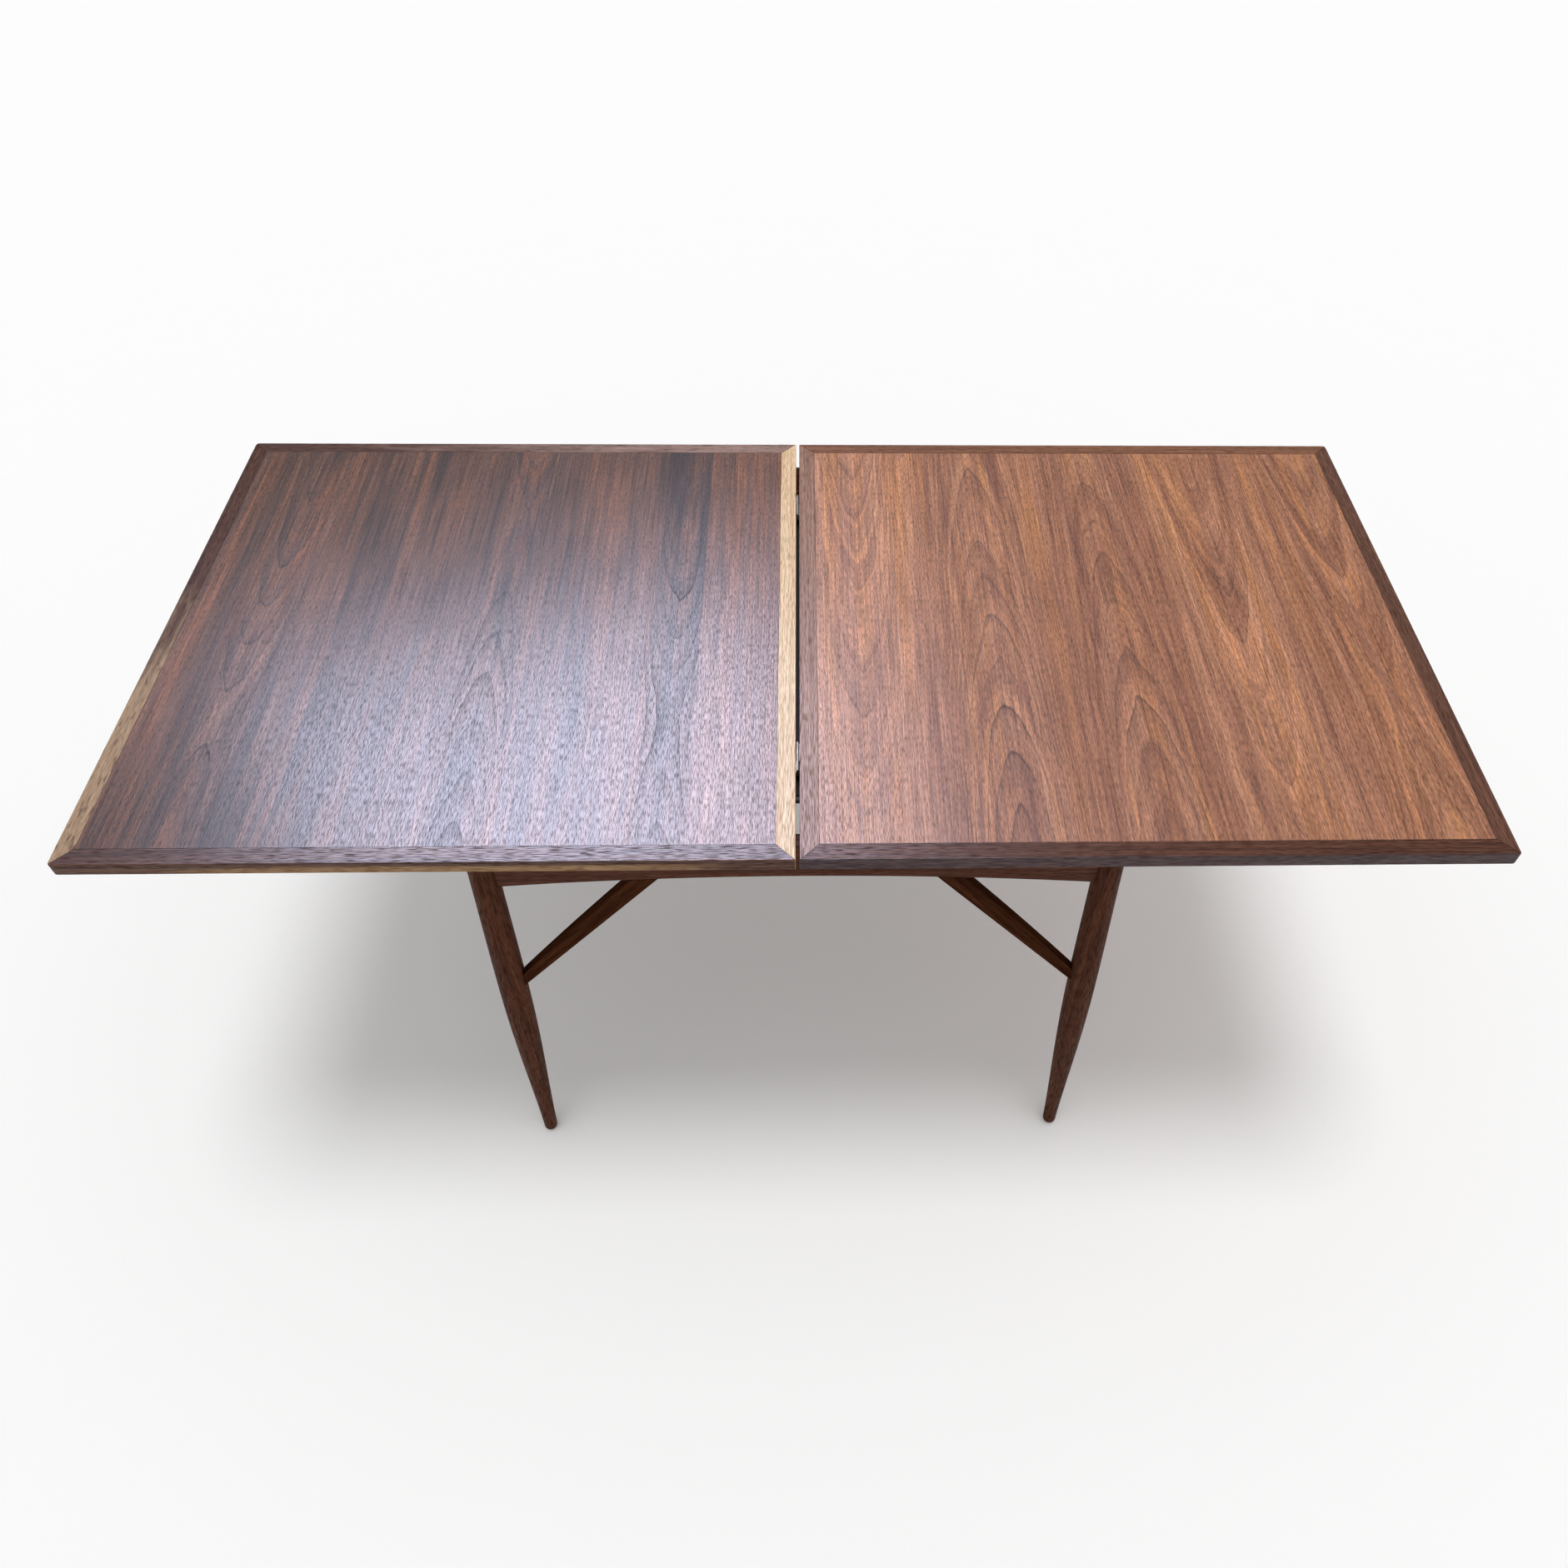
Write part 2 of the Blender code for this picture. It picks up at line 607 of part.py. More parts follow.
# Each plate runs the hinge's whole length; the two knuckles share the pin end to end
def build_hinge_plates(leaf, side, parts, cutters):
    inner, split, outermost = hinge_reach()
    near, far = (inner, split - FIT) if leaf == "sliding" else (split, outermost)
    wing_end = outermost if leaf == "sliding" else inner
    middle = (near + far) / 2
    face = SEAM_GAP / 2
    xs = sorted((side * face, side * (face + PLATE_THICKNESS)))
    for end_name, end in ENDS.items():
        name = f"hinge_plate_{leaf}_{end_name}"
        plate = make_plate(name, knuckle_section(side), far - near, parts)
        stand_along_x(plate, (0.0, end * middle, TABLE_HEIGHT))
        ys = sorted((end * middle, end * wing_end))
        low = (xs[0], ys[0], TABLE_HEIGHT - PLATE_BOTTOM_DROP)
        high = (xs[1], ys[1], TABLE_HEIGHT - PLATE_TOP_DROP)
        combine(plate, as_cutter(make_box(f"{name}_wing", low, high, cutters)), "UNION")
        dress(plate, NICKEL)


def build_hinge_pins(parts):
    inner, _, outermost = hinge_reach()
    half = HINGE_LENGTH / 2
    profile = [(0.0, half), (PIN_RADIUS, half), (PIN_RADIUS, -half), (0.0, -half)]
    for end_name, end in ENDS.items():
        pin = make_turned(f"hinge_pin_{end_name}", profile, ROUND_STEPS, parts)
        pin.rotation_euler = (math.pi / 2, 0.0, 0.0)
        pin.location = (0.0, end * (inner + outermost) / 2, PIVOT_Z)
        dress(pin, STEEL)


# Empties at the joint axes carry what moves: the sliding leaf, and on it the flip leaf
def hang_moving_parts(parts):
    empties = {}
    places = {
        "top_slide": ((0.0, 0.0, UNDERSIDE), None),
        "flip_hinge": ((0.0, 0.0, PIVOT_Z), "top_slide")}
    for name, (place, carrier) in places.items():
        empty = bpy.data.objects.new(name, None)
        parts.objects.link(empty)
        empty.location = place
        empties[name] = empty
        bpy.context.view_layer.update()
        if carrier:
            hang(empty, empties[carrier])
    carried = {
        "sliding": "top_slide", "runner": "top_slide", "hinge_plate_sliding": "top_slide",
        "hinge_pin": "top_slide", "flip": "flip_hinge", "hinge_plate_flip": "flip_hinge"}
    bpy.context.view_layer.update()
    for obj in [obj for obj in parts.objects if obj.type == "MESH"]:
        for prefix, carrier in carried.items():
            if obj.name.startswith(prefix):
                hang(obj, empties[carrier])


def hang(obj, carrier):
    obj.parent = carrier
    obj.matrix_parent_inverse = carrier.matrix_world.inverted()


def build_table():
    clear_scene()
    parts = new_collection("flip_top_table")
    cutters = new_collection("cutters")
    sockets = build_legs(parts, cutters)
    build_glides(parts)
    build_rails(parts, cutters, sockets)
    build_braces(parts, cutters, sockets)
    build_corner_blocks(parts, sockets)
    build_inner_frame(parts, cutters)
    build_runners(parts)
    build_leaf("sliding_leaf", 1, parts, cutters)
    build_leaf("flip_leaf", -1, parts, cutters)
    build_hinge_plates("sliding", 1, parts, cutters)
    build_hinge_plates("flip", -1, parts, cutters)
    build_hinge_pins(parts)
    hang_moving_parts(parts)


build_table()
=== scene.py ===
# Flip-top walnut dining table, shown open on a pale floor
import math

import bpy
from mathutils import Matrix, Vector


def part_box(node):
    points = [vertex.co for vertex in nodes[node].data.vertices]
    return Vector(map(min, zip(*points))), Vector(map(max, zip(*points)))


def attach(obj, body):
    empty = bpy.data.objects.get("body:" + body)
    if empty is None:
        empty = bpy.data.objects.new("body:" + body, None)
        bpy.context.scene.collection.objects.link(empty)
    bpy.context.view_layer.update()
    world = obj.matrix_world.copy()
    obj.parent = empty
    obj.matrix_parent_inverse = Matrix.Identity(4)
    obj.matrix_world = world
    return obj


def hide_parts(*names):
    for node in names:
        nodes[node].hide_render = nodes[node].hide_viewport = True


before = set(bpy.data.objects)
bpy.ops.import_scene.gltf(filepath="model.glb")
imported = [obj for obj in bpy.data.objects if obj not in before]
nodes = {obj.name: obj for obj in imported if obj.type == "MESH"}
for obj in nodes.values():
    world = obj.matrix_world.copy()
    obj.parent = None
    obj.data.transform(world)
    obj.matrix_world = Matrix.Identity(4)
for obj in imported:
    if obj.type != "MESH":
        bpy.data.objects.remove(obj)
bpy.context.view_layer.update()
scene = bpy.context.scene
print("frame loaded:", len(nodes), "nodes")

quarter = math.pi / 2
smoothAngle = math.radians(35)
ends = (("front", -1), ("back", 1))
sides = (("left", -1), ("right", 1))
leafEnds = (0.0025, 0.8535, 0.415)  # a leaf's seam, outer end and half width, from the middle


def hexColor(code):
    parts = [int(code[i:i + 2], 16) / 255 for i in (1, 3, 5)]
    linear = [c / 12.92 if c <= 0.04045 else ((c + 0.055) / 1.055) ** 2.4 for c in parts]
    return (*linear, 1.0)


# a link's value is another node, one of its sockets, or a plain number or colour
def addNode(tree, kind, links=None, stops=None, **settings):
    node = tree.nodes.new("ShaderNode" + kind)
    for setting, value in settings.items():
        setattr(node, setting, value)
    if stops:
        while len(node.color_ramp.elements) < len(stops):
            node.color_ramp.elements.new(1.0)
        for element, (place, color) in zip(node.color_ramp.elements, stops):
            element.position = place
            element.color = color if len(color) == 4 else (*color, 1.0)
    for socket, value in (links or {}).items():
        if isinstance(value, bpy.types.Node):
            value = next(out for out in value.outputs if out.enabled)
        if isinstance(value, bpy.types.NodeSocket):
            tree.links.new(value, node.inputs[socket])
        else:
            node.inputs[socket].default_value = value
    return node


def newMaterial(name):
    material = bpy.data.materials.new(name)
    material.use_nodes = True
    return material, material.node_tree, material.node_tree.nodes["Principled BSDF"]


def deselectAll():
    if bpy.context.object and bpy.context.object.mode != "OBJECT":
        bpy.ops.object.mode_set(mode="OBJECT")
    bpy.ops.object.select_all(action="DESELECT")


def selectOnly(piece):
    deselectAll()
    piece.select_set(True)
    bpy.context.view_layer.objects.active = piece


# Camera: placed and turned by the perspective of the top's corners and the feet (m and radians)
view = {"place": (0.0103, -1.264, 1.8636), "yaw": -0.0455, "pitch": 0.8639, "roll": -0.029,
        "lens": 27.948, "film": 36.0, "shift": (-0.0370, 0.0011)}


def placeCamera():
    yawTurn = Matrix.Rotation(view["yaw"], 3, "Z")
    forward = yawTurn @ Vector((0, math.cos(view["pitch"]), -math.sin(view["pitch"])))
    right = yawTurn @ Vector((1, 0, 0))
    down = yawTurn @ Vector((0, -math.sin(view["pitch"]), -math.cos(view["pitch"])))
    cosRoll, sinRoll = math.cos(view["roll"]), math.sin(view["roll"])
    across = cosRoll * right + sinRoll * down
    lower = cosRoll * down - sinRoll * right
    data = bpy.data.cameras.new("camera")
    data.lens = view["lens"]
    data.sensor_width = view["film"]
    data.shift_x, data.shift_y = view["shift"]
    camera = bpy.data.objects.new("camera", data)
    scene.collection.objects.link(camera)
    turn = Matrix((across, -lower, -forward)).transposed()
    camera.matrix_world = Matrix.Translation(view["place"]) @ turn.to_4x4()
    scene.camera = camera


# Studio: a white dome that dims overhead, a broad lamp straight above, and a cool window pane high
# over the left leaf that only gives the lacquer its sheen
studio = {"domeEdge": 1.0, "domeTop": 0.58,
          "domeFade": (0.05, 0.45),  # how high up it starts and stops dimming (0 to 1)
          "overhead": 1.25, "overheadSpread": 22.0,
          "window": 112.0, "windowColor": "#d8e0ff", "windowSize": (1.03, 1.35),
          "windowPlace": (-0.38, -0.01, 1.60), "windowAim": (-0.29, -0.32, 0.737),
          "floor": "#fcfcfc", "floorSize": 40.0}


def lightStudio():
    world = bpy.data.worlds.new("studio")
    world.use_nodes = True
    tree = world.node_tree
    background = tree.nodes["Background"]
    background.inputs["Color"].default_value = (1.0, 1.0, 1.0, 1.0)
    way = addNode(tree, "TexCoord")
    rise = addNode(tree, "SeparateXYZ", {0: way.outputs["Generated"]})
    low, high = studio["domeFade"]
    level = addNode(tree, "MapRange", {0: rise.outputs[2], 1: low, 2: high,
                                       3: studio["domeEdge"], 4: studio["domeTop"]})
    tree.links.new(level.outputs[0], background.inputs["Strength"])
    scene.world = world
    sun = bpy.data.lights.new("overhead", "SUN")
    sun.energy = studio["overhead"]
    sun.angle = math.radians(studio["overheadSpread"])
    lamp = bpy.data.objects.new("overhead", sun)
    scene.collection.objects.link(lamp)
    pane = bpy.data.lights.new("window", "AREA")
    pane.shape = "RECTANGLE"
    pane.size, pane.size_y = studio["windowSize"]
    pane.energy = studio["window"]
    pane.color = hexColor(studio["windowColor"])[:3]
    window = bpy.data.objects.new("window", pane)
    scene.collection.objects.link(window)
    aim = Vector(studio["windowAim"]) - Vector(studio["windowPlace"])
    turn = aim.to_track_quat("-Z", "Y").to_matrix().to_4x4()
    window.matrix_world = Matrix.Translation(studio["windowPlace"]) @ turn
    window.visible_diffuse = False
    window.visible_camera = False


def layFloor():
    deselectAll()
    bpy.ops.mesh.primitive_plane_add(size=studio["floorSize"], location=(0, 0, 0))
    floor = bpy.context.object
    floor.name = "floor"
    # matt white studio paper: even, with no gloss of its own
    material, tree, shader = newMaterial("matt white paper")
    shader.inputs["Base Color"].default_value = hexColor(studio["floor"])
    shader.inputs["Roughness"].default_value = 0.95
    shader.inputs["Specular IOR Level"].default_value = 0.0
    floor.data.materials.append(material)


placeCamera()
lightStudio()
layFloor()
scene.view_settings.view_transform = "Standard"
print("camera, studio and floor set")

# Veneer: a leaf is laid up from sheets side by side. Each sheet was sliced through growth rings
# that rise along it, so its rings show as nested points. A sheet has its start across the leaf, the
# line its points lie on, the place along the leaf where they turn about (mm), a shift of its rings
# and its tone, from light to mid (0 to 1). Points lie spacing apart along their line (mm), while
# point and swell set how their rings open and crowd beside it. Rings show in full up to the first
# of the near distances (mm) and by the share far past the second
rightVeneer = {
    "edge": -2.5, "sheets": [
        (0, 83, -900, 0.10, 0.34), (169, 265, 900, 0.35, 0.53), (346, 442, 900, 0.62, 0.58),
        (523, 607, -900, 0.85, 0.45), (700, 783, -150, 0.20, 0.50)],
    "spacing": 88.0, "point": 0.024, "swell": 40.0, "near": (50.0, 95.0), "far": 0.62,
    "ringShow": 0.82, "bandGain": 1.7, "streakGain": 1.7, "broadGain": 0.4, "fibre": 0.42,
    "pores": (1.14, 0.66), "rough": (0.41, 0.57),
    "golden": "#c48453", "light": "#bf8666", "mid": "#84513c", "dark": "#462a22"}
leftVeneer = {
    "edge": 853.5, "sheets": [
        (0, 122, -190, 0.30, 0.52), (229, -400, 900, 0.75, 0.62), (395, 448, 250, 0.15, 0.50),
        (608, 688, -200, 0.55, 0.50), (721, 1300, -900, 0.90, 0.06)],
    "spacing": 80.0, "point": 0.024, "swell": 30.0, "near": (24.0, 52.0), "far": 0.08,
    "ringShow": 0.95, "bandGain": 1.3, "streakGain": 2.4, "broadGain": 1.9, "fibre": 0.50,
    "pores": (1.16, 0.54), "rough": (0.34, 0.48),
    "golden": "#805036", "light": "#6d4939", "mid": "#3a2720", "dark": "#0c090b"}

# what both leaves share, in mm, across the grain before along it
veneer = {
    "length": 851.0, "width": 830.0,
    "glueLine": (24.6, 23.4),  # in from the leaf's edge, where it starts to darken and is dark
    "span": 4000.0,  # a ramp holds lines and turns as shares of this, with zero in its middle
    "sway": (18.0, 100.0), "swaySize": (100, 250),  # how far the points sway, and over what size
    "waver": (5.0, 18.0), "waverSize": (12, 60),  # the same for the lines round them
    "pointRound": 4.0, "turnRound": 40.0, "crowdEnd": 100.0,
    # how far a sheet's shift sets its sway, its rings and their chances apart from the next sheet's
    "shiftSway": 40.0, "shiftRings": 9.0, "shiftChance": 37.0,
    # wide, long, detail and roughness; pores are 0.3 mm wide, drawn at 0.9 mm to show
    "fibres": {"broad": (55, 700, 1.0, 0.5), "streak": (16, 600, 3.0, 0.6),
               "fibre": (2.2, 130, 3.0, 0.65), "pore": (0.9, 10, 1.0, 0.5),
               "mottle": (30, 14, 3.0, 0.6)}}


# line, turn, shift and tone of the sheet at each place
def layUpSheets(tree, leaf, across):
    length, span = veneer["length"], veneer["span"]
    share = addNode(tree, "Math", {0: across, 1: length}, operation="DIVIDE")
    sheet = addNode(tree, "ValToRGB", {0: share}, stops=[
        (start / length, (line / span + 0.5, turn / span + 0.5, shift, tone))
        for start, line, turn, shift, tone in leaf["sheets"]])
    sheet.color_ramp.interpolation = "CONSTANT"
    facts = addNode(tree, "SeparateColor", {0: sheet})
    return (*facts.outputs, sheet.outputs["Alpha"])


# a running count of rings, the distance from the sheet's line, and the slow noise that sways them
def growRings(tree, leaf, mm, line, turn, shift):
    sway, waver, span = veneer["sway"], veneer["waver"], veneer["span"]
    apart = addNode(tree, "Math", {0: shift, 1: veneer["shiftSway"]}, operation="MULTIPLY")
    wide, long = veneer["swaySize"]
    slowMap = addNode(tree, "Mapping", {"Vector": mm, "Scale": (1 / wide, 1 / long, 1 / wide)})
    slow = addNode(tree, "TexNoise", {"Vector": slowMap, "W": apart, "Scale": 1.0, "Detail": 1.0},
                   noise_dimensions="4D")
    wide, long = veneer["waverSize"]
    fineMap = addNode(tree, "Mapping", {"Vector": mm, "Scale": (1 / wide, 1 / long, 1 / wide)})
    fine = addNode(tree, "TexNoise", {"Vector": fineMap, "Scale": 1.0, "Detail": 1.0})
    slowWays = addNode(tree, "VectorMath", {0: slow.outputs["Color"], 1: (*sway, 0)},
                       operation="MULTIPLY")
    ways = addNode(tree, "VectorMath", {0: fine.outputs["Color"], 1: (*waver, 0), 2: slowWays},
                   operation="MULTIPLY_ADD")
    bent = addNode(tree, "VectorMath", {0: mm, 1: ways})
    bent = addNode(tree, "SeparateXYZ", {0: bent})
    # half of each wander is taken off again, so that the points keep to their line
    lateral = addNode(tree, "Math", {0: line, 1: -span, 2: bent.outputs[0]},
                      operation="MULTIPLY_ADD")
    lateral = addNode(tree, "Math", {0: lateral, 1: span / 2 - (sway[0] + waver[0]) / 2})
    reach = addNode(tree, "Math", {0: turn, 1: -span, 2: bent.outputs[1]}, operation="MULTIPLY_ADD")
    reach = addNode(tree, "Math", {0: reach, 1: span / 2 - (sway[1] + waver[1]) / 2})
    reach = addNode(tree, "Math", {0: reach, 1: reach, 2: veneer["turnRound"] ** 2},
                    operation="MULTIPLY_ADD")
    reach = addNode(tree, "Math", {0: reach}, operation="SQRT")
    away = addNode(tree, "Math", {0: lateral, 1: lateral, 2: veneer["pointRound"] ** 2},
                   operation="MULTIPLY_ADD")
    away = addNode(tree, "Math", {0: away}, operation="SQRT")
    away = addNode(tree, "Math", {0: away, 1: veneer["crowdEnd"]}, operation="MINIMUM")
    crowd = addNode(tree, "Math", {0: away, 1: leaf["swell"]}, operation="DIVIDE")
    crowd = addNode(tree, "Math", {0: crowd, 1: 3.0}, operation="POWER")
    rings = addNode(tree, "Math", {0: reach, 1: -1 / leaf["spacing"], 2: crowd},
                    operation="MULTIPLY_ADD")
    rings = addNode(tree, "Math", {0: away, 1: leaf["point"], 2: rings}, operation="MULTIPLY_ADD")
    rings = addNode(tree, "Math", {0: shift, 1: veneer["shiftRings"], 2: rings},
                    operation="MULTIPLY_ADD")
    return rings, away, slow


# rings show clearly near their line and in dark sheets, sink into the fibre to the side of it, and
# come and go along it
def showRings(tree, leaf, rings, side, slow, shift, tone):
    ring = addNode(tree, "Math", {0: rings}, operation="FRACT")
    ringNumber = addNode(tree, "Math", {0: rings}, operation="FLOOR")
    ringNumber = addNode(tree, "Math", {0: shift, 1: veneer["shiftChance"], 2: ringNumber},
                         operation="MULTIPLY_ADD")
    ringChance = addNode(tree, "TexWhiteNoise", {"W": ringNumber}, noise_dimensions="1D")
    latewood = addNode(tree, "ValToRGB", {0: ring}, stops=[
        (0.0, (0, 0, 0)), (0.30, (0.06, 0.06, 0.06)), (0.70, (0.32, 0.32, 0.32)),
        (0.90, (0.54, 0.54, 0.54)), (0.945, (0.95, 0.95, 0.95)), (0.985, (0.8, 0.8, 0.8)),
        (1.0, (0, 0, 0))])
    clear = addNode(tree, "MapRange", {
        0: side, 3: leaf["ringShow"], 4: leaf["ringShow"] * leaf["far"]})
    paleSheet = addNode(tree, "MapRange", {0: tone, 1: 0.30, 2: 0.55, 3: 0.45, 4: 1.0})
    slowParts = addNode(tree, "SeparateColor", {0: slow.outputs["Color"]})
    comeAndGo = addNode(tree, "MapRange", {
        0: slowParts.outputs[2], 1: 0.40, 2: 0.60, 3: 0.72, 4: 1.18})
    ringShow = addNode(tree, "MapRange", {0: ringChance, 3: 0.35, 4: 1.0})
    for factor in (clear, paleSheet, comeAndGo, latewood):
        ringShow = addNode(tree, "Math", {0: ringShow, 1: factor}, operation="MULTIPLY")
    return ringShow


def runFibres(tree, mm):
    fibres = {}
    for name, (wide, long, detail, roughness) in veneer["fibres"].items():
        fibreMap = addNode(tree, "Mapping", {"Vector": mm, "Scale": (1 / wide, 1 / long, 1 / wide)})
        fibres[name] = addNode(tree, "TexNoise", {
            "Vector": fibreMap, "Scale": 1.0, "Detail": detail, "Roughness": roughness})
    return fibres


# light and golden wood darkens to mid by sheet, streak and broad band, and to dark at the rings
def tintVeneer(tree, leaf, fibres, band, side, tone, ringShow):
    broad = addNode(tree, "Math", {0: fibres["broad"], 1: 0.5}, operation="SUBTRACT")
    blend = addNode(tree, "Math", {0: fibres["streak"], 1: leaf["streakGain"], 2: tone},
                    operation="MULTIPLY_ADD")
    blend = addNode(tree, "Math", {0: broad, 1: leaf["broadGain"], 2: blend},
                    operation="MULTIPLY_ADD")
    bandShow = addNode(tree, "MapRange", {0: side, 3: leaf["bandGain"], 4: 0.4 * leaf["bandGain"]})
    bandLift = addNode(tree, "Math", {0: band, 1: 0.5}, operation="SUBTRACT")
    blend = addNode(tree, "Math", {0: bandLift, 1: bandShow, 2: blend}, operation="MULTIPLY_ADD")
    blend = addNode(tree, "Math", {0: blend, 1: -0.5 * leaf["streakGain"]}, use_clamp=True)
    hues = addNode(tree, "SeparateColor", {0: fibres["streak"].outputs["Color"]})
    warm = addNode(tree, "MapRange", {0: hues.outputs[1], 1: 0.42, 2: 0.62})
    color = addNode(tree, "Mix", {0: warm, 6: hexColor(leaf["light"]), 7: hexColor(leaf["golden"])},
                    data_type="RGBA")
    color = addNode(tree, "Mix", {0: blend, 6: color, 7: hexColor(leaf["mid"])}, data_type="RGBA")
    return addNode(tree, "Mix", {0: ringShow, 6: color, 7: hexColor(leaf["dark"])},
                   data_type="RGBA")


# a thin dark glue line where the veneer meets the lipping
def glueLine(tree, across, along):
    length, width = veneer["length"], veneer["width"]
    pale, dark = veneer["glueLine"]
    acrossRim = addNode(tree, "Math", {0: across, 1: length / 2}, operation="SUBTRACT")
    acrossRim = addNode(tree, "Math", {0: acrossRim}, operation="ABSOLUTE")
    acrossRim = addNode(tree, "Math", {0: acrossRim, 1: length / 2 - width / 2},
                        operation="SUBTRACT")
    alongRim = addNode(tree, "Math", {0: along}, operation="ABSOLUTE")
    rim = addNode(tree, "Math", {0: acrossRim, 1: alongRim}, operation="MAXIMUM")
    return addNode(tree, "MapRange", {
        0: rim, 1: width / 2 - pale, 2: width / 2 - dark, 3: 1.0, 4: 0.55})


# satin lacquer: duller on rings, and open pores hold none of it, so they stay dark in the sheen
def lacquerVeneer(tree, shader, leaf, fibre, poreMask, ringShow):
    dull = addNode(tree, "Math", {0: ringShow, 1: 1.6, 2: poreMask}, operation="MULTIPLY_ADD")
    rough = addNode(tree, "MapRange", {0: dull, 3: leaf["rough"][0], 4: leaf["rough"][1]},
                    clamp=False)
    tree.links.new(rough.outputs[0], shader.inputs["Roughness"])
    gloss = addNode(tree, "MapRange", {0: poreMask, 3: 0.39, 4: 0.22})
    glossShade = addNode(tree, "MapRange", {0: fibre, 1: 0.32, 2: 0.68, 3: 0.82, 4: 1.18})
    ringDull = addNode(tree, "MapRange", {0: ringShow, 3: 1.0, 4: 0.55})
    for factor in (glossShade, ringDull):
        gloss = addNode(tree, "Math", {0: gloss, 1: factor}, operation="MULTIPLY")
    tree.links.new(gloss.outputs[0], shader.inputs["Specular IOR Level"])
    relief = addNode(tree, "Math", {0: poreMask, 1: -1.0, 2: fibre}, operation="MULTIPLY_ADD")
    bump = addNode(tree, "Bump", {"Height": relief, "Strength": 0.4, "Distance": 0.0001})
    tree.links.new(bump.outputs[0], shader.inputs["Normal"])


# walnut veneer under satin lacquer: nested dark ring lines, straight fibre, short open pores, and
# a soft broken sheen where the pores part the lacquer
def walnutVeneer(name, leaf):
    material, tree, shader = newMaterial(name)
    place = addNode(tree, "TexCoord")
    mm = addNode(tree, "Mapping", {"Vector": place.outputs["Object"],
                                   "Location": (leaf["edge"], 0, 0), "Scale": (1000, 1000, 1000)})
    axes = addNode(tree, "SeparateXYZ", {0: mm})
    across, along = axes.outputs[0], axes.outputs[1]
    line, turn, shift, tone = layUpSheets(tree, leaf, across)
    rings, away, slow = growRings(tree, leaf, mm, line, turn, shift)
    side = addNode(tree, "MapRange", {0: away, 1: leaf["near"][0], 2: leaf["near"][1]},
                   interpolation_type="SMOOTHSTEP")
    ringShow = showRings(tree, leaf, rings, side, slow, shift, tone)
    fibres = runFibres(tree, mm)
    fibre = fibres["fibre"]
    poreMask = addNode(tree, "MapRange", {0: fibres["pore"], 1: 0.46, 2: 0.62})
    # broad and thin bands of tone run with the rings
    bandPlace = addNode(tree, "CombineXYZ", {0: rings, 1: shift})
    bandMap = addNode(tree, "Mapping", {"Vector": bandPlace, "Scale": (0.8, 91, 1)})
    band = addNode(tree, "TexNoise", {
        "Vector": bandMap, "Scale": 1.0, "Detail": 2.0, "Roughness": 0.6})
    thinMap = addNode(tree, "Mapping", {"Vector": bandPlace, "Scale": (5.0, 17, 1)})
    thin = addNode(tree, "TexNoise", {
        "Vector": thinMap, "Scale": 1.0, "Detail": 2.0, "Roughness": 0.6})
    color = tintVeneer(tree, leaf, fibres, band, side, tone, ringShow)
    thinShade = addNode(tree, "MapRange", {0: thin, 1: 0.3, 2: 0.7, 3: 0.80, 4: 1.17})
    shade = addNode(tree, "Mix", {0: side, 2: thinShade, 3: 1.0})
    fibreShade = addNode(tree, "MapRange", {
        0: fibre, 1: 0.32, 2: 0.68, 3: 1 - leaf["fibre"], 4: 1 + leaf["fibre"]})
    ripple = addNode(tree, "MapRange", {0: fibres["mottle"], 1: 0.3, 2: 0.7, 3: 0.94, 4: 1.06})
    poreShade = addNode(tree, "MapRange", {0: poreMask, 3: leaf["pores"][0], 4: leaf["pores"][1]})
    for factor in (fibreShade, ripple, poreShade, glueLine(tree, across, along)):
        shade = addNode(tree, "Math", {0: shade, 1: factor}, operation="MULTIPLY")
    color = addNode(tree, "VectorMath", {0: color, "Scale": shade}, operation="SCALE")
    tree.links.new(color.outputs[0], shader.inputs["Base Color"])
    lacquerVeneer(tree, shader, leaf, fibre, poreMask, ringShow)
    return material


# pale wood in the stretches of sapwood, and on the sliding leaf's front lipping a cool reflection
# painted on its front face: each stretch is an axis and where along it the tone changes (m)
def sapwoodAndSheenStretches(tree, place, mm, streak, color, sapwood, sapwoodAndSheenTones):
    pale = addNode(tree, "Mix", {0: streak, 6: hexColor(sapwoodAndSheenTones[0]), 7: hexColor(sapwoodAndSheenTones[1])},
                   data_type="RGBA")
    spread = 1.0
    world = addNode(tree, "SeparateXYZ", {0: place.outputs["Object"]})
    edgeMap = addNode(tree, "Mapping", {"Vector": mm, "Scale": (1 / 90, 1 / 9, 1 / 9)})
    ragged = addNode(tree, "TexNoise", {"Vector": edgeMap, "Scale": 1.0, "Detail": 3.0})
    for axis, start, end in sapwood:
        fade = end - start
        wander = addNode(tree, "Math", {0: ragged, 1: fade * 1.2, 2: world.outputs[axis]},
                         operation="MULTIPLY_ADD")
        part = addNode(tree, "MapRange", {0: wander, 1: start + fade * 0.6, 2: end + fade * 0.6},
                       interpolation_type="SMOOTHSTEP")
        spread = addNode(tree, "Math", {0: part, 1: spread}, operation="MULTIPLY")
    # brown spots 20 by 5 mm where the heartwood runs back into the pale wood
    spotMap = addNode(tree, "Mapping", {"Vector": mm, "Scale": (1 / 20, 1 / 5, 1 / 5)})
    spot = addNode(tree, "TexNoise", {"Vector": spotMap, "Scale": 1.0, "Detail": 2.0})
    clear = addNode(tree, "MapRange", {0: spot, 1: 0.56, 2: 0.70, 3: 1.0, 4: 0.35})
    spread = addNode(tree, "Math", {0: spread, 1: clear}, operation="MULTIPLY")
    return addNode(tree, "Mix", {0: spread, 6: color, 7: pale}, data_type="RGBA")


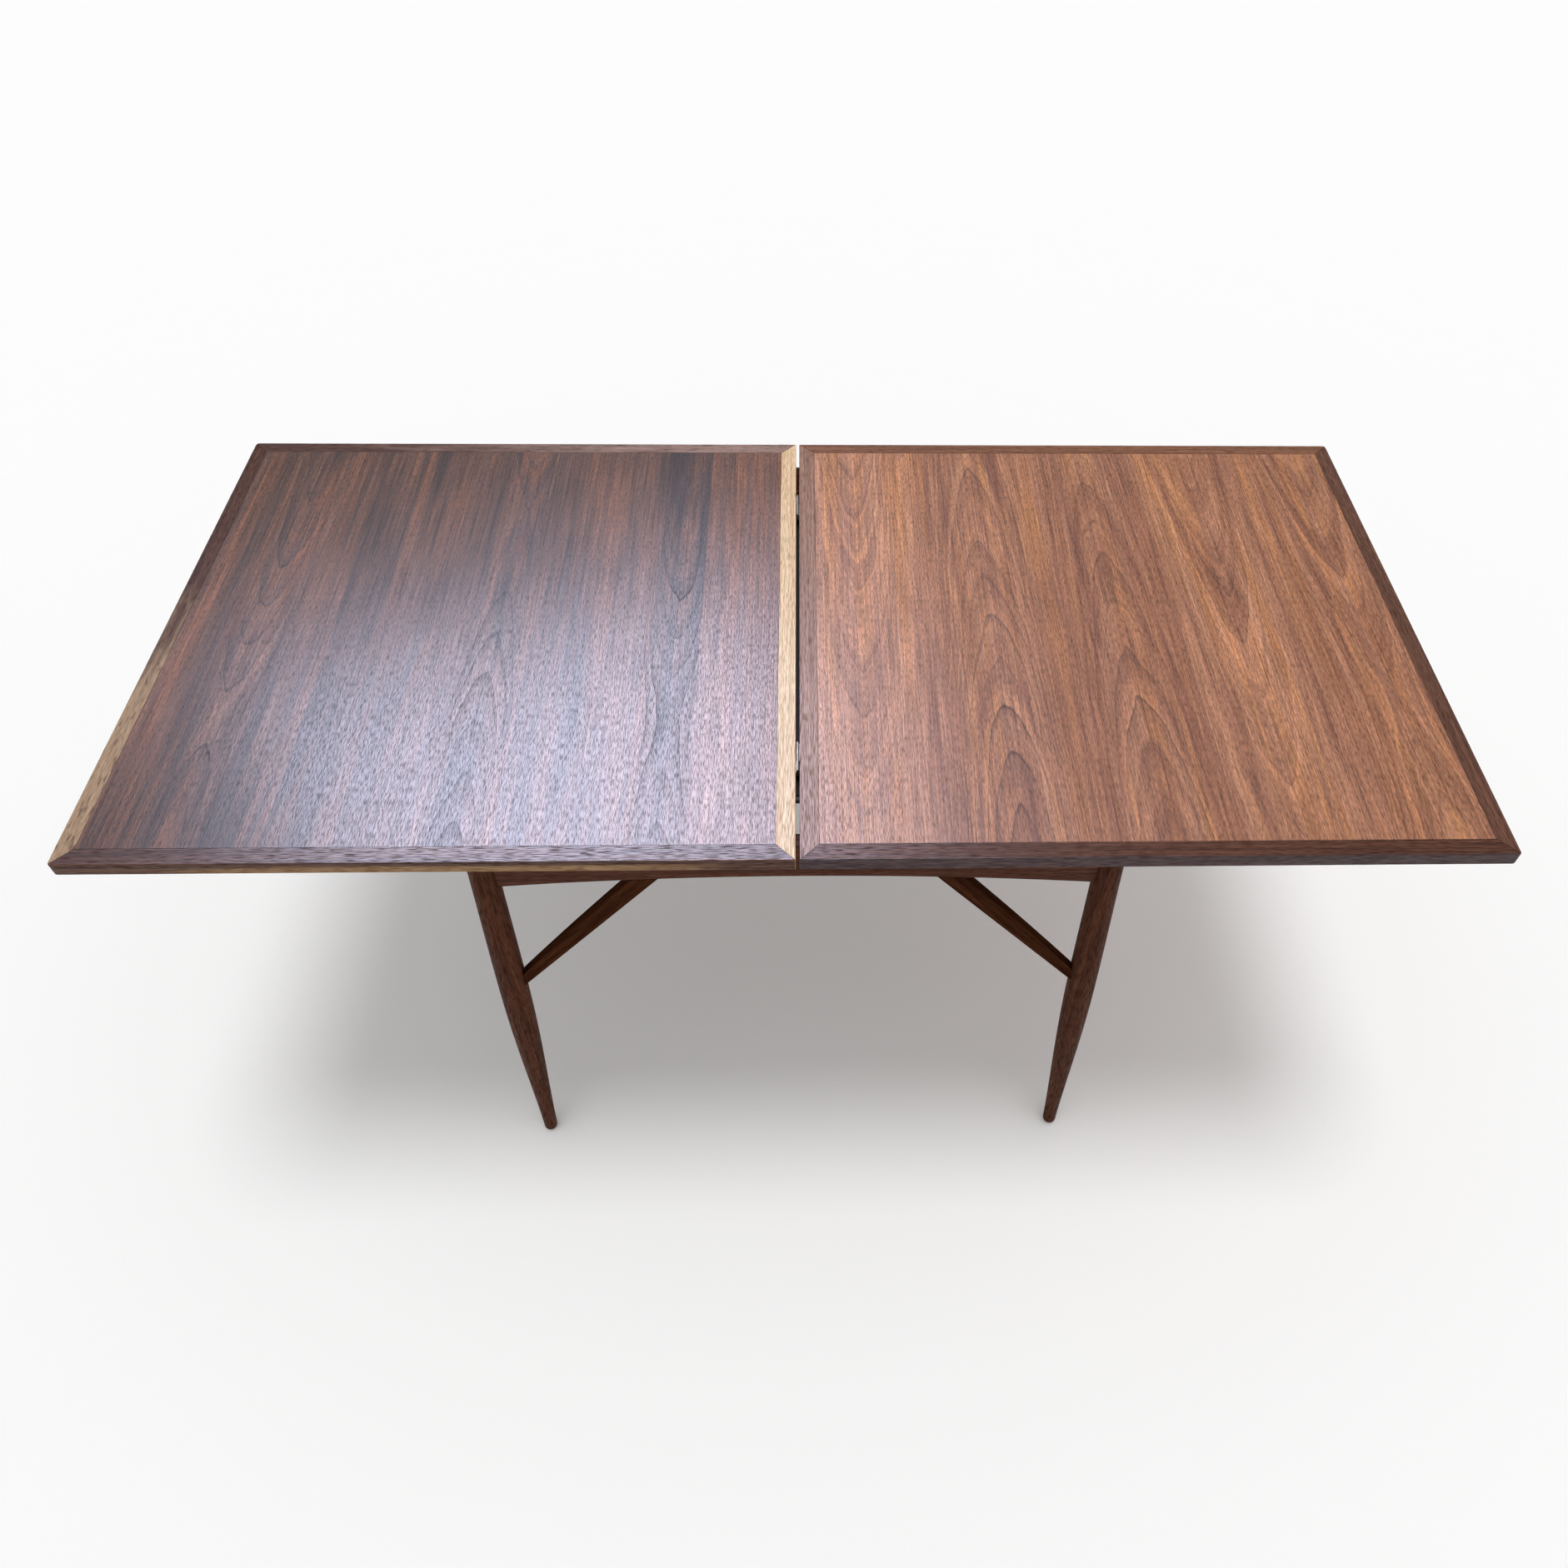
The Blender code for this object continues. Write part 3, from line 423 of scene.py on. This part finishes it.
# a thin dark line where two lippings meet at a corner, 45 degrees to both
def mitreLine(tree, place):
    seam, outer, halfWidth = leafEnds
    ways = addNode(tree, "VectorMath", {0: place.outputs["Object"]}, operation="ABSOLUTE")
    ways = addNode(tree, "SeparateXYZ", {0: ways})
    fromSeam = addNode(tree, "Math", {0: ways.outputs[0], 1: seam}, operation="SUBTRACT")
    fromEnd = addNode(tree, "Math", {0: outer, 1: ways.outputs[0]}, operation="SUBTRACT")
    fromX = addNode(tree, "Math", {0: fromSeam, 1: fromEnd}, operation="MINIMUM")
    fromY = addNode(tree, "Math", {0: halfWidth, 1: ways.outputs[1]}, operation="SUBTRACT")
    apart = addNode(tree, "Math", {0: fromX, 1: fromY}, operation="SUBTRACT")
    apart = addNode(tree, "Math", {0: apart}, operation="ABSOLUTE")
    return addNode(tree, "MapRange", {0: apart, 1: 0.0002, 2: 0.0012, 3: 0.5, 4: 1.0})


# solid walnut, planed and satin lacquered: darker than the veneer, with straight dark streaks,
# pores along the grain and, where the board ran out to the bark, pale sapwood; the same stretches
# can carry a painted reflection instead
def solidWalnut(name, tones, turn=(0, 0, 0), gloss=0.05, sapwood=(), sapwoodAndSheenTones=(), mitred=False):
    material, tree, shader = newMaterial(name)
    place = addNode(tree, "TexCoord")
    mm = addNode(tree, "Mapping", {
        "Vector": place.outputs["Object"], "Rotation": turn, "Scale": (1000, 1000, 1000)})
    # rings 6.5 mm apart that waver by up to 18 mm over 190 by 32 mm
    waverMap = addNode(tree, "Mapping", {"Vector": mm, "Scale": (1 / 190, 1 / 32, 1 / 32)})
    waver = addNode(tree, "TexNoise", {"Vector": waverMap, "Scale": 1.0, "Detail": 2.0})
    bent = addNode(tree, "VectorMath", {0: waver.outputs["Color"], 1: (0, 18, 18), 2: mm},
                   operation="MULTIPLY_ADD")
    axes = addNode(tree, "SeparateXYZ", {0: bent})
    rings = addNode(tree, "Math", {0: axes.outputs[2], 1: 0.6, 2: axes.outputs[1]},
                    operation="MULTIPLY_ADD")
    rings = addNode(tree, "Math", {0: rings, 1: 6.5}, operation="DIVIDE")
    ring = addNode(tree, "Math", {0: rings}, operation="FRACT")
    ringNumber = addNode(tree, "Math", {0: rings}, operation="FLOOR")
    ringChance = addNode(tree, "TexWhiteNoise", {"W": ringNumber}, noise_dimensions="1D")
    latewood = addNode(tree, "ValToRGB", {0: ring}, stops=[
        (0.0, (0.05, 0.05, 0.05)), (0.5, (0.05, 0.05, 0.05)), (0.82, (0.4, 0.4, 0.4)),
        (0.93, (0.9, 0.9, 0.9)), (1.0, (0.8, 0.8, 0.8))])
    ringShow = addNode(tree, "MapRange", {0: ringChance, 3: 0.15, 4: 0.75})
    ringShow = addNode(tree, "Math", {0: ringShow, 1: latewood}, operation="MULTIPLY")
    # streaks 6 mm wide, fibre 1.3 mm, and pores 0.3 mm wide, drawn at 1.1 mm to show
    streakMap = addNode(tree, "Mapping", {"Vector": mm, "Scale": (1 / 300, 1 / 6, 1 / 6)})
    streak = addNode(tree, "TexNoise", {
        "Vector": streakMap, "Scale": 1.0, "Detail": 3.0, "Roughness": 0.6})
    blend = addNode(tree, "MapRange", {0: streak, 1: 0.34, 2: 0.64})
    fibreMap = addNode(tree, "Mapping", {"Vector": mm, "Scale": (1 / 60, 1 / 1.3, 1 / 1.3)})
    fibre = addNode(tree, "TexNoise", {
        "Vector": fibreMap, "Scale": 1.0, "Detail": 2.0, "Roughness": 0.6})
    poreMap = addNode(tree, "Mapping", {"Vector": mm, "Scale": (1 / 18, 1 / 1.1, 1 / 1.1)})
    pore = addNode(tree, "TexNoise", {"Vector": poreMap, "Scale": 1.0, "Detail": 1.0})
    poreMask = addNode(tree, "MapRange", {0: pore, 1: 0.46, 2: 0.62})
    color = addNode(tree, "Mix", {0: blend, 6: hexColor(tones[0]), 7: hexColor(tones[1])},
                    data_type="RGBA")
    color = addNode(tree, "Mix", {0: ringShow, 6: color, 7: hexColor(tones[2])}, data_type="RGBA")
    if sapwood:
        color = sapwoodAndSheenStretches(tree, place, mm, streak, color, sapwood, sapwoodAndSheenTones)
    fibreShade = addNode(tree, "MapRange", {0: fibre, 1: 0.3, 2: 0.7, 3: 0.82, 4: 1.18})
    poreShade = addNode(tree, "MapRange", {0: poreMask, 3: 1.10, 4: 0.72})
    shade = addNode(tree, "Math", {0: fibreShade, 1: poreShade}, operation="MULTIPLY")
    if mitred:
        shade = addNode(tree, "Math", {0: shade, 1: mitreLine(tree, place)}, operation="MULTIPLY")
    color = addNode(tree, "VectorMath", {0: color, "Scale": shade}, operation="SCALE")
    tree.links.new(color.outputs[0], shader.inputs["Base Color"])
    rough = addNode(tree, "MapRange", {0: poreMask, 3: 0.41, 4: 0.56})
    tree.links.new(rough.outputs[0], shader.inputs["Roughness"])
    if gloss > 0:
        sheen = addNode(tree, "MapRange", {0: poreMask, 3: gloss * 1.2, 4: gloss * 0.3})
        sheen = addNode(tree, "Math", {0: sheen, 1: fibreShade}, operation="MULTIPLY")
        tree.links.new(sheen.outputs[0], shader.inputs["Specular IOR Level"])
    else:
        shader.inputs["Specular IOR Level"].default_value = 0.0
    relief = addNode(tree, "Math", {0: poreMask, 1: -1.0, 2: fibre}, operation="MULTIPLY_ADD")
    bump = addNode(tree, "Bump", {"Height": relief, "Strength": 0.35, "Distance": 0.00012})
    tree.links.new(bump.outputs[0], shader.inputs["Normal"])
    return material


# steamed beech, planed and left bare: pale, with short brown flecks along the grain
def bareBeech(name, turn=(0, 0, 0)):
    material, tree, shader = newMaterial(name)
    place = addNode(tree, "TexCoord")
    mm = addNode(tree, "Mapping", {
        "Vector": place.outputs["Object"], "Rotation": turn, "Scale": (1000, 1000, 1000)})
    streakMap = addNode(tree, "Mapping", {"Vector": mm, "Scale": (1 / 220, 1 / 7, 1 / 7)})
    streak = addNode(tree, "TexNoise", {"Vector": streakMap, "Scale": 1.0, "Detail": 4.0})
    fleckMap = addNode(tree, "Mapping", {"Vector": mm, "Scale": (1 / 3.5, 1 / 0.8, 1 / 0.8)})
    fleck = addNode(tree, "TexNoise", {"Vector": fleckMap, "Scale": 1.0, "Detail": 1.0})
    fleckMask = addNode(tree, "MapRange", {0: fleck, 1: 0.60, 2: 0.72, 4: 0.55})
    color = addNode(tree, "Mix", {0: streak, 6: hexColor("#c9a27a"), 7: hexColor("#ad8259")},
                    data_type="RGBA")
    color = addNode(tree, "Mix", {0: fleckMask, 6: color, 7: hexColor("#83583a")}, data_type="RGBA")
    tree.links.new(color.outputs[2], shader.inputs["Base Color"])
    rough = addNode(tree, "MapRange", {0: streak, 3: 0.55, 4: 0.70})
    tree.links.new(rough.outputs[0], shader.inputs["Roughness"])
    bump = addNode(tree, "Bump", {"Height": fleck, "Strength": 0.2, "Distance": 0.0001})
    tree.links.new(bump.outputs[0], shader.inputs["Normal"])
    return material


# plywood stained near black: dull, with the fibre, 160 by 4 mm, just showing
def stainedPlywood(name):
    material, tree, shader = newMaterial(name)
    place = addNode(tree, "TexCoord")
    grainMap = addNode(tree, "Mapping", {
        "Vector": place.outputs["Object"], "Scale": (1000 / 160, 1000 / 4, 1000 / 4)})
    grain = addNode(tree, "TexNoise", {
        "Vector": grainMap, "Scale": 1.0, "Detail": 4.0, "Roughness": 0.65})
    stain = addNode(tree, "MapRange", {0: grain, 1: 0.35, 2: 0.65})
    color = addNode(tree, "Mix", {0: stain, 6: hexColor("#100c0b"), 7: hexColor("#33271f")},
                    data_type="RGBA")
    tree.links.new(color.outputs[2], shader.inputs["Base Color"])
    rough = addNode(tree, "MapRange", {0: stain, 3: 0.52, 4: 0.80})
    tree.links.new(rough.outputs[0], shader.inputs["Roughness"])
    shader.inputs["Specular IOR Level"].default_value = 0.1
    bump = addNode(tree, "Bump", {"Height": grain, "Strength": 0.5, "Distance": 0.0003})
    tree.links.new(bump.outputs[0], shader.inputs["Normal"])
    return material


# drawn metal, dull: fine draw lines along the piece, made 0.7 mm wide to show, and patches of
# tarnish 9 mm wide. The lines' size is in mm
def dullMetal(name, clean, tarnished, roughness, lines):
    material, tree, shader = newMaterial(name)
    place = addNode(tree, "TexCoord")
    lineMap = addNode(tree, "Mapping", {
        "Vector": place.outputs["Object"], "Scale": tuple(1000 / size for size in lines)})
    drawn = addNode(tree, "TexNoise", {"Vector": lineMap, "Scale": 1.0, "Detail": 3.0})
    patch = addNode(tree, "TexNoise", {
        "Vector": place.outputs["Object"], "Scale": 1000 / 9, "Detail": 3.0})
    color = addNode(tree, "Mix", {0: patch, 6: hexColor(clean), 7: hexColor(tarnished)},
                    data_type="RGBA")
    tree.links.new(color.outputs[2], shader.inputs["Base Color"])
    shader.inputs["Metallic"].default_value = 1.0
    rough = addNode(tree, "MapRange", {0: drawn, 3: roughness - 0.08, 4: roughness + 0.10})
    tree.links.new(rough.outputs[0], shader.inputs["Roughness"])
    bump = addNode(tree, "Bump", {"Height": drawn, "Strength": 0.15, "Distance": 0.0001})
    tree.links.new(bump.outputs[0], shader.inputs["Normal"])
    return material


# turns of the grain, which runs along the table unless it is turned
alongTable, acrossTable, upright = (0, 0, 0), (0, 0, quarter), (0, quarter, 0)
braceTurn = math.radians(130.7)
braceRight, braceLeft = (0, braceTurn, 0), (0, math.pi - braceTurn, 0)
legTones = ("#53301f", "#3b2014", "#22120c")
railTones = ("#5b3626", "#42251a", "#271610")
# the braces' tones are darker than the rails' and the legs': painted shade, for the shade the top
# casts on them
braceTonesWithPaintedShade = ("#472919", "#321a10", "#1d0f09")
lippingTones = ("#5c3828", "#42261b", "#271712")
legWalnut = solidWalnut("turned walnut", legTones, upright, gloss=0.03)
railWalnut = solidWalnut("walnut rail long grain", railTones)
endRailWalnut = solidWalnut("walnut rail cross grain", railTones, acrossTable)
braceWalnutRight = solidWalnut("walnut brace right with painted shade", braceTonesWithPaintedShade, braceRight, gloss=0.0)
braceWalnutLeft = solidWalnut("walnut brace left with painted shade", braceTonesWithPaintedShade, braceLeft, gloss=0.0)
beechLong = bareBeech("bare beech long grain")
steel = dullMetal("drawn steel", "#6e6b68", "#4c4945", 0.42, (60, 0.7, 0.7))

# Lippings: each a solid strip with its own tone, gloss and stretches of sapwood; on the sliding
# leaf's front lipping the stretch is a cool reflection painted on its front face
lippings = {
    "sliding_leaf_lipping_front": {
        "name": "walnut lipping with painted cool reflection on its front", "turn": alongTable, "gloss": 0.16,
        "tones": ("#67402e", "#4b2c1f", "#2b1913"),
        # its front face is painted a cool purple-grey: a painted reflection of cool light, not
        # sapwood
        "sapwood": [(1, -0.4128, -0.4142)], "sapwoodAndSheenTones": ("#4d3d3f", "#3f3032")},
    "sliding_leaf_lipping_back": {
        "name": "pale walnut lipping", "turn": alongTable, "gloss": 0.20,
        "tones": ("#8f5f45", "#704832", "#44291d")},
    "sliding_leaf_lipping_outer": {
        "name": "walnut lipping cross grain", "turn": acrossTable, "gloss": 0.16,
        "tones": ("#734c3b", "#5b3b2e", "#36231b")},
    "sliding_leaf_lipping_seam": {
        "name": "grey walnut lipping", "turn": acrossTable, "gloss": 0.20,
        "tones": ("#a8816f", "#8a6555", "#5c4137")},
    "flip_leaf_lipping_front": {
        "name": "walnut lipping with sapwood edge", "turn": alongTable, "gloss": 0.26,
        "tones": lippingTones, "sapwoodAndSheenTones": ("#9a7850", "#785839"),
        "sapwood": [(2, 0.7318, 0.7272), (0, -0.05, -0.20), (0, -0.86, -0.55),
                    (1, -0.4118, -0.4140)]},
    "flip_leaf_lipping_back": {
        "name": "walnut lipping paling to one end", "turn": alongTable, "gloss": 0.20,
        "tones": lippingTones,
        # this stretch only makes the strip lighter and greyer towards the seam end
        "sapwood": [(0, -0.80, -0.02)], "sapwoodAndSheenTones": ("#a4867c", "#876a60")},
    "flip_leaf_lipping_outer": {
        "name": "walnut lipping with sapwood end", "turn": acrossTable, "gloss": 0.16,
        "tones": lippingTones,
        "sapwood": [(1, 0.10, -0.22)], "sapwoodAndSheenTones": ("#b4987c", "#92765d")},
    "flip_leaf_lipping_seam": {
        "name": "walnut sapwood", "turn": acrossTable, "gloss": 0.20,
        "tones": ("#e8cda9", "#d6b088", "#a87f58")}}

# the finish of each CAD node, by its name or the start of it; the legs are turned afresh below
finishes = {
    "apron": railWalnut, "end_rail": endRailWalnut,
    "brace_front_right": braceWalnutRight, "brace_back_right": braceWalnutRight,
    "brace_front_left": braceWalnutLeft, "brace_back_left": braceWalnutLeft,
    "corner_block": beechLong, "runner": beechLong,
    "cross_rail": bareBeech("bare beech cross grain", acrossTable),
    "hinge_plate": dullMetal("tarnished nickel", "#6e655c", "#443d38", 0.52, (0.7, 40, 0.7)),
    "slide_bar": dullMetal("blackened steel", "#2f2d2b", "#1b1918", 0.55, (60, 0.7, 0.7)),
    "hinge_pin": steel, "glide": steel,
    "sliding_leaf_panel": walnutVeneer("figured walnut veneer", rightVeneer),
    "flip_leaf_panel": walnutVeneer("straight walnut veneer", leftVeneer),
    "sub_top_board": stainedPlywood("dark stained plywood")}
for lipping, wood in lippings.items():
    finishes[lipping] = solidWalnut(**wood, mitred=True)
print("materials mixed")

for node in nodes:
    for start, material in finishes.items():
        if node.startswith(start):
            for slot in nodes[node].material_slots:
                slot.material = material
print("CAD nodes finished")

# Legs: turned, thickest where the brace meets them, drawn in to a small rounded foot
leg = {"sides": 96, "rings": 40, "topRadius": 0.0175, "bellyRadius": 0.0195, "bellyHeight": 0.400,
       "footRadius": 0.0100, "footBulge": 1.5, "footRound": 0.006, "footInset": 0.75,
       "footSteps": 6, "splay": math.radians(1.8), "stand": (0.3815, 0.371), "top": 0.7177,
       "sole": 0.0023, "spare": 0.010}


def legRadius(height):
    belly = leg["bellyRadius"]
    if height >= leg["bellyHeight"]:
        rise = min((height - leg["bellyHeight"]) / (leg["top"] - leg["bellyHeight"]), 1.0)
        return leg["topRadius"] + (belly - leg["topRadius"]) * math.cos(rise * math.pi / 2) ** 2
    rise = max(height / leg["bellyHeight"], 0.0)
    swell = math.sin(rise * math.pi / 2) ** leg["footBulge"]
    return leg["footRadius"] + (belly - leg["footRadius"]) * swell


# heights run up the leg's own line from its foot, with a little spare at each end to trim
def turnLeg():
    base = leg["sole"] + leg["footRound"]
    profile = []
    for step in range(leg["footSteps"] + 1):
        swing = step / leg["footSteps"] * math.pi / 2
        inset = leg["footRound"] * leg["footInset"] * (1 - math.sin(swing))
        footHeight = leg["sole"] + leg["footRound"] * (1 - math.cos(swing))
        profile.append((legRadius(base) - inset, footHeight))
    for ring in range(1, leg["rings"] + 1):
        height = base + (leg["top"] + leg["spare"] - base) * ring / leg["rings"]
        profile.append((legRadius(height), height))
    radius, height = profile[0][0], leg["sole"] - leg["spare"] / 2
    deselectAll()
    bpy.ops.mesh.primitive_circle_add(vertices=leg["sides"], radius=radius, fill_type="NGON",
                                      location=(0, 0, height - leg["top"]))
    blank = bpy.context.object
    bpy.ops.object.mode_set(mode="EDIT")
    bpy.ops.mesh.select_all(action="SELECT")
    for nextRadius, nextHeight in profile:
        bpy.ops.mesh.extrude_region_move(
            TRANSFORM_OT_translate={"value": (0, 0, nextHeight - height)})
        grow = nextRadius / radius
        bpy.ops.transform.resize(value=(grow, grow, 1),
                                 center_override=(0, 0, nextHeight - leg["top"]))
        radius, height = nextRadius, nextHeight
    bpy.ops.mesh.select_all(action="SELECT")
    bpy.ops.mesh.normals_make_consistent(inside=False)
    bpy.ops.object.mode_set(mode="OBJECT")
    bpy.ops.object.transform_apply(location=True, rotation=True, scale=True)
    return blank


def standLegs():
    blank = turnLeg()
    lean = math.tan(leg["splay"])
    for endName, end in ends:
        for sideName, side in sides:
            piece = blank.copy()
            piece.data = blank.data.copy()
            piece.name = f"turned_leg_{endName}_{sideName}"
            scene.collection.objects.link(piece)
            upward = Vector((-side * lean, -end * lean, 1))
            turn = Vector((0, 0, 1)).rotation_difference(upward)
            place = (side * leg["stand"][0], end * leg["stand"][1], leg["top"])
            piece.matrix_world = Matrix.Translation(place) @ turn.to_matrix().to_4x4()
            selectOnly(piece)
            bpy.ops.object.transform_apply(location=True, rotation=True, scale=True)
            bpy.ops.object.mode_set(mode="EDIT")
            for height, upper in ((leg["top"], True), (leg["sole"], False)):
                bpy.ops.mesh.select_all(action="SELECT")
                bpy.ops.mesh.bisect(plane_co=(0, 0, height), plane_no=(0, 0, 1), use_fill=True,
                                    clear_outer=upper, clear_inner=not upper)
            bpy.ops.object.mode_set(mode="OBJECT")
            bpy.ops.object.shade_smooth_by_angle(angle=smoothAngle)
            piece.data.materials.append(legWalnut)
            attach(piece, "base")
            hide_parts(f"leg_{endName}_{sideName}")
    bpy.data.objects.remove(blank, do_unlink=True)


standLegs()
print("legs turned and stood")

# Screws: low slotted heads, flat ones on the hinge plates and domed ones on the corner blocks. A
# head is its radius and its rise, and the slot and the dome's steps are shares of those
screw = {"sides": 32, "slotLong": 1.2, "slotWide": 0.22, "slotDeep": 0.6,
         "dome": ((1.0, 0.25), (0.94, 0.6), (0.80, 0.85), (0.55, 0.97), (0.25, 1.0)),
         "hingeHead": (0.0023, 0.0005), "hingeHeight": 0.7245, "hingeSpread": 0.29,
         "blockHead": (0.0042, 0.0020), "blockSpread": 0.012}


def shapeScrew(radius, rise):
    width, height = 1.0, -0.5
    deselectAll()
    bpy.ops.mesh.primitive_circle_add(vertices=screw["sides"], radius=radius, fill_type="NGON",
                                      location=(0, 0, height * rise))
    head = bpy.context.object
    bpy.ops.object.mode_set(mode="EDIT")
    bpy.ops.mesh.select_all(action="SELECT")
    for nextWidth, nextHeight in screw["dome"]:
        bpy.ops.mesh.extrude_region_move(
            TRANSFORM_OT_translate={"value": (0, 0, (nextHeight - height) * rise)})
        draw = nextWidth / width
        bpy.ops.transform.resize(value=(draw, draw, 1), center_override=(0, 0, nextHeight * rise))
        width, height = nextWidth, nextHeight
    bpy.ops.mesh.select_all(action="SELECT")
    bpy.ops.mesh.normals_make_consistent(inside=False)
    bpy.ops.object.mode_set(mode="OBJECT")
    bpy.ops.object.transform_apply(location=True, rotation=True, scale=True)
    deselectAll()
    bpy.ops.mesh.primitive_cube_add(size=1.0, location=(0, 0, rise))
    cutter = bpy.context.object
    cutter.scale = (2 * screw["slotLong"] * radius, 2 * screw["slotWide"] * radius,
                    2 * screw["slotDeep"] * rise)
    bpy.ops.object.transform_apply(location=True, rotation=True, scale=True)
    slot = head.modifiers.new("slot", "BOOLEAN")
    slot.operation, slot.solver, slot.object = "DIFFERENCE", "EXACT", cutter
    selectOnly(head)
    bpy.ops.object.modifier_apply(modifier="slot")
    bpy.data.objects.remove(cutter, do_unlink=True)
    bpy.ops.object.shade_smooth_by_angle(angle=smoothAngle)
    return head


def setScrew(head, name, place, way, twist, body):
    piece = head.copy()
    piece.data = head.data.copy()
    piece.name = name
    scene.collection.objects.link(piece)
    turn = Vector(way).to_track_quat("Z", "Y").to_matrix().to_4x4()
    piece.matrix_world = Matrix.Translation(place) @ turn @ Matrix.Rotation(twist, 4, "Z")
    selectOnly(piece)
    bpy.ops.object.transform_apply(location=True, rotation=True, scale=True)
    piece.data.materials.append(steel)
    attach(piece, body)


def setScrews():
    flat = shapeScrew(*screw["hingeHead"])
    domed = shapeScrew(*screw["blockHead"])
    twist = 0  # each slot is left a radian further round than the last
    for endName, end in ends:
        for leafName, side in (("sliding", 1), ("flip", -1)):
            low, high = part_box(f"hinge_plate_{leafName}_{endName}")
            for number, share in ((1, -1), (2, 1)):
                y = (low[1] + high[1]) / 2 + share * screw["hingeSpread"] * (high[1] - low[1])
                place = (side * leafEnds[0], y, screw["hingeHeight"])
                setScrew(flat, f"hinge_screw_{leafName}_{endName}_{number}", place,
                         (-side, 0, 0), twist, leafName + "_leaf")
                twist += 1
        for sideName, side in sides:
            low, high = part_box(f"corner_block_{endName}_{sideName}")
            middle = [(a + b) / 2 for a, b in zip(low, high)]
            for number, share in ((1, -1), (2, 1)):
                slide = share * screw["blockSpread"]
                place = (middle[0] + side * slide, middle[1] - end * slide, middle[2])
                setScrew(domed, f"block_screw_{endName}_{sideName}_{number}", place,
                         (-side, -end, 0), twist, "base")
                twist += 1
    for head in (flat, domed):
        bpy.data.objects.remove(head, do_unlink=True)


setScrews()
print("screws set")
